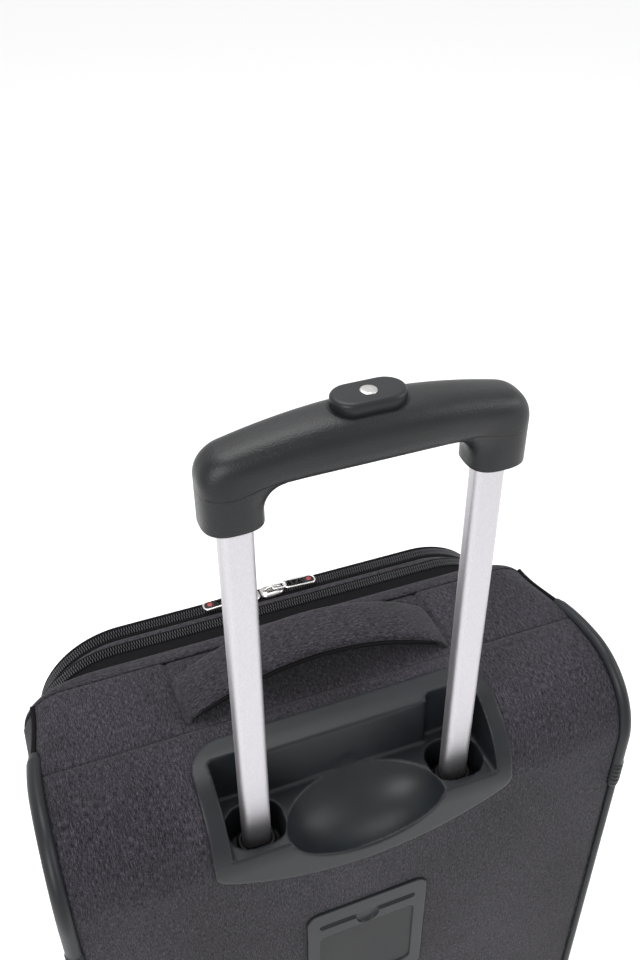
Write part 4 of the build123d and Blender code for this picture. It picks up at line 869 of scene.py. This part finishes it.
# ------------------------------------------------------------------ pocket zips
# Each pocket opens along a nylon coil zip on a flat tape, with a crimped stop at both ends.
for pocket in ("upper_pocket", "lower_pocket"):
    low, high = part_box(f"{pocket}_zip")
    middle = (low.z + high.z) / 2
    face_y = high.y - 0.0020
    u, v = np.meshgrid(np.linspace(-1, 1, 90), np.linspace(-1, 1, 15), indexing="ij")
    rise = 0.0010 * (1 - v**8) * (1 - u**60) - 0.0004 * (1 - smoothstep((np.abs(v) - 0.5) / 0.1))
    strip = np.stack([u * high.x, face_y - rise, middle + v * (high.z - low.z) / 2], -1)
    tape = grid_piece(f"{pocket}_tape", strip, uv=strip[..., [0, 2]], centre=(0, face_y + 0.1, middle))
    finish_piece(thicken(tape, 0.0008), "lid", TAPE, "zip_tape", f"{pocket}_zip")
    reach = high.x - 0.006
    count = int(2 * reach / COIL_PITCH)
    for row, sign in (("upper", 1), ("lower", -1)):
        x = -reach + COIL_PITCH * (np.arange(count) + (0.5 if sign == 1 else 0.0))
        origins = np.stack([x, np.full(count, face_y - 0.0012),
                            np.full(count, middle + sign * COIL_HALF / 2)], 1)
        axes = np.broadcast_to([[0.0, 0.0, 1.0], [1.0, 0.0, 0.0], [0.0, -1.0, 0.0]], (count, 3, 3))
        teeth = repeat_form(f"{pocket}_coil_{row}", coil_form, coil_faces, origins, axes)
        finish_piece(teeth, "lid", coil_nylon, "inner_plastic")

# ------------------------------------------------------------------ zip sliders and pulls
# Cast sliders with a bridge over the pull's pin. A pull is a nickel wire frame round a black
# zigzag lattice, with a plain enamel dot at its free end.
enamel = new_material("enamel_dot", Base_Color=(0.23, 0.018, 0.02, 1.0), Roughness=0.28)
SLIDER_FORM = [(0.0000, 0.0006), (-0.0002, 0.0012), (0.0000, 0.0020), (0.0006, 0.0027), (0.0016, 0.0031),
               (0.0034, 0.0033)]


def joined(name, pieces):
    """One mesh made of several."""
    points, faces, shift = [], [], 0
    for piece in pieces:
        count = len(piece.data.vertices)
        place = np.empty(count * 3)
        piece.data.vertices.foreach_get("co", place)
        points.extend(place.reshape(-1, 3).tolist())
        faces.extend([[k + shift for k in face.vertices] for face in piece.data.polygons])
        shift += count
        bpy.data.objects.remove(piece)
    mesh = bpy.data.meshes.new(name)
    mesh.from_pydata(points, [], faces)
    mesh.polygons.foreach_set("use_smooth", np.full(len(faces), True))
    whole = bpy.data.objects.new(name, mesh)
    bpy.context.scene.collection.objects.link(whole)
    return whole


def stack_form(name, outline, levels, place, axes):
    """A low solid: a closed outline drawn in by each level's inset at its height, closed on top."""
    size = np.abs(outline).max(0)
    rows = [outline * 0.0]
    heights = [levels[0][1]]
    for inset, height in levels:
        rows.append(outline * (1 - inset / size))
        heights.append(height)
    rows.append(outline * 0.5)
    heights.append(levels[-1][1])
    rows.append(outline * 0.0)
    heights.append(levels[-1][1])
    local = np.concatenate([np.stack(rows), np.repeat(np.array(heights)[:, None, None], len(outline), 1)], -1)
    piece = grid_piece(name, local @ np.asarray(axes, float) + place, around=True,
                       centre=place + np.asarray(axes[2]) * 0.001)
    merge_doubles(piece)
    return piece


def wire(name, points, radius, place, axes, closed=False):
    """A round wire along local points."""
    path = np.asarray(points) @ np.asarray(axes, float) + place
    up = np.broadcast_to(np.asarray(axes[2], float), path.shape) + 0.01 * np.asarray(axes[1], float)
    return tube_piece(name, path, up, ellipse(radius, radius, 8), closed=closed)


def stadium(half_length, half_width, corner, count=48):
    """A rounded rectangle's outline about its middle."""
    angle = np.linspace(0, 2 * math.pi, 4 * count, endpoint=False)
    turn = np.stack([np.cos(angle), np.sin(angle)], 1)
    path = np.sign(np.round(turn, 9)) * [half_length - corner, half_width - corner] + corner * turn
    return resample(np.concatenate([path, path[:1]]), count + 1)[:-1]


for zip_name, along, outward in (
    ("main_left", (-1, 0, 0), (0, 0, 1)),
    ("main_right", (1, 0, 0), (0, 0, 1)),
    ("expansion", (0, 0, -1), (-1, 0, 0)),
    ("upper_pocket", (-1, 0, 0), (0, -1, 0)),
    ("lower_pocket", (-1, 0, 0), (0, -1, 0)),
):
    along, outward = np.array(along, float), np.array(outward, float)
    axes = np.stack([along, np.cross(outward, along), outward])
    low, high = (np.array(corner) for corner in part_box(f"{zip_name}_slider"))
    middle = (low + high) / 2
    base = middle - outward * np.abs((high - low) @ outward) / 2
    outline = stadium(0.0086, 0.0054, 0.0040)
    outline[:, 1] *= 1 - 0.16 * smoothstep((outline[:, 0] + 0.002) / 0.010)
    plate = stack_form("plate", outline, SLIDER_FORM, base, axes)
    bridge = wire("bridge", [(-0.0062, 0, 0.0024), (-0.0050, 0, 0.0044), (-0.0020, 0, 0.0052),
                             (0.0030, 0, 0.0052),
                  (0.0056, 0, 0.0044), (0.0066, 0, 0.0024)], 0.0010, base, axes)
    slider = joined(f"{zip_name}_slider_cast", [plate, bridge])
    finish_piece(slider, f"{zip_name}_slider_body", MATERIALS["slider_metal"], "slider_metal",
                 f"{zip_name}_slider")
    low, high = (np.array(corner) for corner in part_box(f"{zip_name}_pull"))
    length = np.abs((high - low) @ along)
    start = (low + high) / 2 - along * length / 2
    start = start - outward * ((start - base) @ outward) + outward * 0.0046
    slope = -0.055
    tilted = along + slope * outward
    tilted = tilted / np.linalg.norm(tilted)
    pull_axes = np.stack([tilted, axes[1], np.cross(tilted, axes[1])])
    ring_end, far_end = 0.0075, length - 0.0002
    half = (far_end - ring_end) / 2
    centre = np.array([ring_end + half, 0.0])
    loop = stadium(half - 0.0008, 0.0038, 0.0030, 56) + centre
    frame_wire = wire("frame", np.column_stack([loop, np.zeros(len(loop))]), 0.00085, start, pull_axes,
                      closed=True)
    eye = stadium(0.0052, 0.0024, 0.0022, 30) + [0.0046, 0.0]
    eye_wire = wire("eye", np.column_stack([eye, np.zeros(len(eye))]), 0.00085, start, pull_axes, closed=True)
    pull = joined(f"{zip_name}_pull_frame", [frame_wire, eye_wire])
    finish_piece(pull, f"{zip_name}_pull_body", MATERIALS["pull_metal"], "pull_metal", f"{zip_name}_pull")
    pad_at = far_end - 0.0052
    bars = []
    steps = np.linspace(ring_end + 0.0010, pad_at - 0.0030, 5)
    for k in range(4):
        side = 0.0032 if k % 2 == 0 else -0.0032
        bars.append(wire(f"bar_{k}", [(steps[k], -side, 0.0), (steps[k + 1], side, 0.0)], 0.00075, start,
                         pull_axes))
    pad = stack_form("pad", stadium(0.0040, 0.0036, 0.0030),
                     [(0.0, -0.0007), (0.0, 0.0005), (0.0005, 0.0009)],
                     start + pad_at * tilted, pull_axes)
    lattice = joined(f"{zip_name}_pull_lattice", bars + [pad])
    finish_piece(lattice, f"{zip_name}_pull_body", MATERIALS["inner_plastic"], "inner_plastic")
    dot = stack_form(f"{zip_name}_pull_dot", stadium(0.0019, 0.0019, 0.00189),
                     [(0.0, 0.0007), (0.0, 0.0011), (0.0004, 0.0013)],
                     start + pad_at * tilted, pull_axes)
    finish_piece(dot, f"{zip_name}_pull_body", enamel, "pull_metal")

# ------------------------------------------------------------------ grip
# Two pebble-grained shells form a bar that is bowed and thickest in the middle, on two short legs.
# The parting line runs round each leg, up the inner corner and along under the bar.
LEG_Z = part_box("grip_lower_shell")[0].z
GRIP_TOP_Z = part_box("grip_upper_shell")[1].z
GRIP_Y = (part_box("grip_upper_shell")[0].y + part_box("grip_upper_shell")[1].y) / 2
GRIP_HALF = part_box("grip_upper_shell")[1].x
LEG_INNER = GRIP_HALF - 0.031
UNDER_Z = LEG_Z + 0.0195
GRIP_CROWN_Z = GRIP_TOP_Z
OUTER_RADIUS = 0.015


def grip_top(x):
    """The height of the bar's top edge at a distance from its middle."""
    return GRIP_CROWN_Z - 0.0072 * (x / 0.0665) ** 2


def grip_rows():
    """Pairs of outer and inner silhouette points up a leg, round the corner and along half of the bar."""
    last = math.radians(74)
    arc_z = grip_top(GRIP_HALF - OUTER_RADIUS * (1 - math.cos(last))) - OUTER_RADIUS * math.sin(last)
    t = np.linspace(0, 1, 14, endpoint=False)[:, None]
    outer = [np.concatenate([np.full((14, 1), GRIP_HALF), LEG_Z + t * (arc_z - LEG_Z)], 1)]
    inner = [np.concatenate([np.full((14, 1), LEG_INNER), LEG_Z + t * (UNDER_Z - 0.013 - LEG_Z)], 1)]
    a = np.linspace(0, last, 22, endpoint=False)
    outer.append(np.stack([GRIP_HALF - OUTER_RADIUS * (1 - np.cos(a)), arc_z + OUTER_RADIUS * np.sin(a)], 1))
    b = np.radians(np.linspace(0, 90, 22, endpoint=False))
    inner.append(np.stack([LEG_INNER - 0.013 + 0.013 * np.cos(b), UNDER_Z - 0.013 + 0.013 * np.sin(b)], 1))
    x = np.linspace(GRIP_HALF - OUTER_RADIUS * (1 - math.cos(last)), 0, 40)
    outer.append(np.stack([x, grip_top(x)], 1))
    x = np.linspace(LEG_INNER - 0.013, 0, 40)
    inner.append(np.stack([x, UNDER_Z + 0.0008 * np.cos(x * 30)], 1))
    return np.concatenate(outer), np.concatenate(inner)


outer, inner = grip_rows()
middle, half = (outer + inner) / 2, (outer - inner) / 2
depth = 0.0143 + 0.0024 * smoothstep((0.075 - middle[:, 0]) / 0.070)
t = np.linspace(0, 2 * math.pi, 72, endpoint=False)
boxy = 2 / 2.7
swing = np.sign(np.cos(t)) * np.abs(np.cos(t)) ** boxy
swell = np.sign(np.sin(t)) * np.abs(np.sin(t)) ** boxy
x = middle[:, None, 0] + half[:, None, 0] * swing
z = middle[:, None, 1] + half[:, None, 1] * swing
y = GRIP_Y + depth[:, None] * swell
rows = np.stack([x, y, z], -1)
foot = rows[0]
centre = foot.mean(0)
caps = [centre + (foot - centre) * k for k in (0.0, 0.5, 0.93)]
lifted = rows[:1] + [0.0, 0.0, 0.0011]
rows = np.concatenate([np.stack(caps), lifted, rows[1:]])
mirrored = rows[:-1][::-1] * [-1, 1, 1]
grip_points = np.concatenate([rows, mirrored])


SEAM_RISE = 0.0215
SEAM_CLIMB = 0.0030


def seam_height(x):
    """Where the shells part: round the top of each leg, rising a little to the bar's lower side."""
    return LEG_Z + SEAM_RISE + SEAM_CLIMB * smoothstep((0.072 - np.abs(x)) / 0.022)


grip_material = pebbled("grip_plastic_parted", (0.0045, 0.0050, 0.0060), 0.33, 1250, 0.8, 0.32)
place = add_node(grip_material, "SeparateXYZ", {0: add_node(grip_material, "TexCoord").outputs["Object"]})
side = maths(grip_material, "ABSOLUTE", place.outputs[0], 0.0)
climb = add_node(grip_material, "MapRange", {"Value": side, "From Min": 0.072, "From Max": 0.050,
                                             "To Min": 0.0,
                                             "To Max": SEAM_CLIMB}, interpolation_type="SMOOTHSTEP")
off_seam = maths(grip_material, "SUBTRACT", place.outputs[2],
                 maths(grip_material, "ADD", climb.outputs[0], LEG_Z + SEAM_RISE))
near_seam = add_node(grip_material, "MapRange", {"Value": maths(grip_material, "ABSOLUTE", off_seam, 0.0),
                                                 "From Min": 0.0001,
                                                 "From Max": 0.00045}, interpolation_type="SMOOTHSTEP")
grain_bump = grip_material.node_tree.nodes["Bump"]
seam_bump = add_node(grip_material, "Bump", {"Height": near_seam.outputs[0], "Strength": 1.0,
                                             "Distance": 0.0005,
                                             "Normal": grain_bump.outputs[0]})
shader_input(grip_material, "Normal", seam_bump.outputs[0])
for shell, upper in (("upper", True), ("lower", False)):
    piece = grid_piece(f"grip_{shell}", grip_points, around=True)
    merge_doubles(piece)
    cut_faces(piece, lambda x, y, z: (z > seam_height(x)) != upper)
    finish_piece(piece, "handle", grip_material, "grip_plastic", f"grip_{shell}_shell")

# ------------------------------------------------------------------ release button
# An oval button stands out of a dark slot in the bar, with a small plain round inlay on its top.
BUTTON_TOP_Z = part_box("release_button")[1].z
BUTTON_AXES = np.eye(3)
BUTTON_MIDDLE = np.array([0.0, GRIP_Y, BUTTON_TOP_Z])
outline = stadium(0.0200, 0.0110, 0.0109, 64)
u = np.linspace(0, 1, 8)[:, None, None]
slot_xy = outline[None] * (1 - u)
across = np.abs(slot_xy[..., 1]) / 0.0167
slot_z = grip_top(slot_xy[..., 0]) - 0.0165 * (1 - (1 - across**2.7) ** (1 / 2.7)) + 0.00025
slot = grid_piece("button_slot", np.stack([slot_xy[..., 0], GRIP_Y + slot_xy[..., 1], slot_z], -1),
                  around=True,
                  centre=(0, GRIP_Y, GRIP_TOP_Z - 0.03))
merge_doubles(slot)
finish_piece(slot, "handle", MATERIALS["inner_plastic"], "inner_plastic")
button = stack_form("button_cap", stadium(0.0188, 0.0103, 0.0102, 64),
                    [(0.0, -0.0100), (0.0, -0.0022), (0.0001, -0.0014), (0.0006, -0.0006),
                     (0.0014, -0.0001), (0.0024, 0.0)],
                    BUTTON_MIDDLE, BUTTON_AXES)
finish_piece(button, "release", MATERIALS["button_plastic"], "button_plastic", "release_button")
inlay = stack_form("button_inlay", stadium(0.0042, 0.0042, 0.00419, 40),
                   [(0.0, -0.0004), (0.0, 0.0001), (0.0004, 0.0003)],
                   BUTTON_MIDDLE, BUTTON_AXES)
finish_piece(inlay, "release", MATERIALS["slider_metal"], "slider_metal")

low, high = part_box("button_spring")
turns = np.linspace(0, 1, 181)
angle = turns * 2 * math.pi * 6
coil_radius = (high.x - low.x) / 2 - 0.0004
path = np.stack([coil_radius * np.cos(angle), (low.y + high.y) / 2 + coil_radius * np.sin(angle),
                 low.z + 0.0004 + turns * (high.z - low.z - 0.0010)], 1)
radial = np.stack([np.cos(angle), np.sin(angle), 0 * angle], 1)
spring = tube_piece("button_spring_wire", path, radial, ellipse(0.0003, 0.0003, 8))
finish_piece(spring, "handle", MATERIALS["bright_steel"], "bright_steel", "button_spring")
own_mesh(spring)

# ------------------------------------------------------------------ carry handle and side handle
# The carry handle is a padded heather strap, faced below with black binding that shows along its
# edges, and tucked into the panel at both ends. The side handle is a flat black webbing strap.
low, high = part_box("carry_handle")
HANDLE_Y = (low.y + high.y) / 2
HANDLE_HALF_WIDTH = (high.y - low.y) / 2
rise = high.z - TOP_Z
span = high.x
x = np.linspace(-span, span, 121)
arch_radius = (span**2 + (rise - 0.006) ** 2) / (2 * (rise - 0.006))
z = TOP_Z + rise - 0.0045 - (arch_radius - np.sqrt(arch_radius**2 - x**2))
z = np.maximum(z, TOP_Z - 0.0012) - 0.003 * smoothstep((np.abs(x) - span + 0.006) / 0.006)
path = np.stack([x, np.full(121, HANDLE_Y), z], 1)
ends = smoothstep((span - np.abs(x)) / 0.030)
thick = 0.0016 + 0.0026 * ends
wide = HANDLE_HALF_WIDTH * (0.97 - 0.05 * ends)
up = np.broadcast_to([0.0, 0.0, 1.0], path.shape)
section = ellipse(1.0, 1.0, 36, 3.0)[None] * np.stack([thick, wide], 1)[:, None]
strap = tube_piece("carry_strap", path, up, section, uv=True)
finish_piece(strap, "case", shell_fabric, "shell_fabric", "carry_handle")
section = ellipse(1.0, 1.0, 24, 5.0)[None] * np.stack([0.0018 + 0 * thick, wide + 0.0012], 1)[:, None]
short = np.abs(x) < span - 0.010
binding = tube_piece("carry_strap_binding", (path - [0, 0, 0.0034] * ends[:, None])[short], up[short],
                     section[short], uv=True)
finish_piece(binding, "case", TAPE, "zip_tape")
low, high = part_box("side_handle")
z = np.linspace(low.z, high.z, 81)
swell = 1 - ((z - (low.z + high.z) / 2) / ((high.z - low.z) / 2)) ** 2
x = -HALF_WIDTH - 0.0036 - (HALF_WIDTH + low.x + 0.0046) * -1.0 * smoothstep(swell * 1.15)
path = np.stack([np.maximum(x, low.x + 0.0014), np.full(81, (low.y + high.y) / 2), z], 1)
webbing = tube_piece("side_handle_webbing", path, np.broadcast_to([-1.0, 0.0, 0.0], path.shape),
                     ellipse(0.0014, (high.y - low.y) / 2, 28, 6.0), uv=True)
finish_piece(webbing, "case", TAPE, "zip_tape", "side_handle")

# ------------------------------------------------------------------ wheel housings, feet and stage collars
# Moulded in the same dark plastic as the well, with soft edges; the collars are black nylon.
for side in ("left", "right"):
    soft_copy(f"housing_{side}", f"wheel_housing_{side}", "case", "moulded_plastic", 0.0014, 5)
    soft_copy(f"collar_{side}", f"middle_collar_{side}", f"middle_stage_{side}", "inner_plastic", 0.0006, 3)
soft_copy("front_feet", "feet", "case", "moulded_plastic", 0.0012, 4)

# ------------------------------------------------------------------ gusset, hinge strip and linings
# Folded cloth joins the case to the rim behind the expansion zip, a cloth hinge joins the rim to the
# lid on the left, and light grey lining covers the inside of the case, the rim and the lid.
fold_y = np.linspace(FLANGE_Y + 0.004, BAND_LOW.y + 0.0016, 40)
rows = [(0.0042 + 0.0006 * math.sin(k), y, 0.0) for k, y in enumerate(fold_y)]
gusset = ring_sheet("gusset_cloth", rows)
finish_piece(thicken(gusset, 0.0006), None, TAPE, "zip_tape", "expansion_gusset")
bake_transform(gusset)
u, v = np.meshgrid(np.linspace(MAIN_Y + 0.0046, LID_REAR_Y + 0.0002, 26), np.linspace(-1, 1, 60),
                   indexing="ij")
strip = np.stack([-(RIM_HALF_W - NARROW - 0.0008) + 0 * u, u,
                  MIDDLE_Z + v * (RIM_HALF_H - RIM_RADIUS - 0.001)], -1)
hinge = grid_piece("hinge_strip", strip, uv=strip[..., [1, 2]], centre=(0, MAIN_Y, MIDDLE_Z))
finish_piece(thicken(hinge, 0.0010), None, TAPE, "zip_tape")
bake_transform(hinge)
LINING = MATERIALS["lining_fabric"]


def turned_in(piece):
    """Faces the inside of the case."""
    piece.data.flip_normals()
    return piece


liner = turned_in(ring_sheet("case_lining", [(0.0062, FLANGE_Y + 0.002), (0.0066, 0.0), (0.0068, 0.0405),
                                             (0.0070, 0.0410), (0.0070, 0.0700)]))
BACK_LINING_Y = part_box("back_lining")[0].y
cut_faces(liner, lambda x, y, z: y > BACK_LINING_Y and z > WELL_LOW.z)
finish_piece(thicken(liner, 0.0008), "case", LINING, "lining_fabric")
inside = padded_front("lid_lining", RIM_HALF_W - 0.0050 - NARROW, RIM_HALF_H - 0.0050, RIM_RADIUS - 0.005,
                      0.0, MIDDLE_Z,
                      LID_REAR_Y + 0.0012, 0.0006, 0.0, 0.004)
finish_piece(turned_in(inside), "lid", LINING, "lining_fabric")
SHELF_Z = WELL_LOW.z - 0.004
BACK_LINING_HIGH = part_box("back_lining")[1]
REAR_Y = BACK_LINING_HIGH.y - 0.0012
FRONT_OF_WELL_Y = BACK_LINING_Y + 0.0008
BEND = 0.006
profile = np.concatenate([
    line_points((REAR_Y, BOTTOM_Z + 0.006), (REAR_Y, SHELF_Z - BEND)),
    arc_points((REAR_Y - BEND, SHELF_Z - BEND), BEND, 0, 90),
    line_points((REAR_Y - BEND, SHELF_Z), (FRONT_OF_WELL_Y + BEND, SHELF_Z)),
    arc_points((FRONT_OF_WELL_Y + BEND, SHELF_Z + BEND), BEND, 270, 180),
    line_points((FRONT_OF_WELL_Y, SHELF_Z + BEND), (FRONT_OF_WELL_Y, BACK_LINING_HIGH.z - 0.001)),
])
profile = resample(profile, 120)
across = np.linspace(-1, 1, 80)[:, None]
slack = 0.0010 * np.cos(across * 9.0) * np.sin(profile[None, :, 1] * 21.0)
sheet = np.stack([across * (BACK_LINING_HIGH.x - 0.002) + 0 * slack,
                  profile[None, :, 0] - 0.0006 + slack * 0.6,
                  profile[None, :, 1] + 0 * slack], -1)
back_sheet = grid_piece("back_lining_cloth", sheet, uv=sheet[..., [0, 2]], centre=(0, 1.0, MIDDLE_Z))
finish_piece(thicken(back_sheet, 0.0006), "case", LINING, "lining_fabric", "back_lining")
for side, sign in (("right", 1), ("left", -1)):
    low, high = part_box(f"wheel_housing_{side}")
    middle = np.array([sign * 0.163, REAR_Y + 0.001, (BOTTOM_Z + high.z + 0.003) / 2])
    reach = REAR_Y + 0.001 - low.y
    cover = stack_form(f"housing_cover_{side}", stadium(0.021, (high.z + 0.003 - BOTTOM_Z) / 2 - 0.001,
                                                        0.006, 40),
                       [(0.0, 0.0), (0.0, reach - 0.004), (0.0012, reach), (0.0045, reach + 0.0022)], middle,
                       [[1, 0, 0], [0, 0, 1], [0, -1, 0]])
    finish_piece(cover, "case", LINING, "lining_fabric")

# ------------------------------------------------------------------ tie straps and side label
# Two webbing straps cross the back of the compartment to a side-release buckle, and a small blank
# woven label is sewn beside the piping.
STRAP_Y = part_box("back_lining")[1].y - 0.0068
for side, sign in (("right", 1), ("left", -1)):
    t = np.linspace(0, 1, 60)
    x = sign * (0.012 + t * 0.150)
    z = 0.285 - t**1.3 * 0.150
    path = np.stack([x, np.full(60, STRAP_Y) - 0.004 * np.sin(t * math.pi), z], 1)
    strap = tube_piece(f"tie_strap_{side}", path, np.broadcast_to([0.0, -1.0, 0.0], path.shape),
                       ellipse(0.0008, 0.0125, 24, 8.0), uv=True)
    finish_piece(strap, "case", TAPE, "zip_tape")
buckle = stack_form("tie_buckle", stadium(0.026, 0.0165, 0.006, 64),
                    [(0.0, -0.0030), (0.0, 0.0020), (0.0006, 0.0036),
                    (0.0022, 0.0044)], np.array([0.0, STRAP_Y - 0.001, 0.285]),
                    [[1, 0, 0], [0, 0, 1], [0, -1, 0]])
finish_piece(buckle, "case", MATERIALS["inner_plastic"], "inner_plastic")
label = np.stack(np.meshgrid(np.linspace(0, 1, 40), np.linspace(-1, 1, 9), indexing="ij"), -1)
strip = np.stack([HALF_WIDTH + 0.0036 - 0.0018 * label[..., 1] ** 4, 0.012 + 0.006 * label[..., 1],
                  0.470 + 0.062 * label[..., 0]], -1)
tag = grid_piece("side_label", strip, uv=strip[..., [1, 2]], centre=(0, 0.012, 0.5))
finish_piece(thicken(tag, 0.0010), "case", TAPE, "zip_tape")
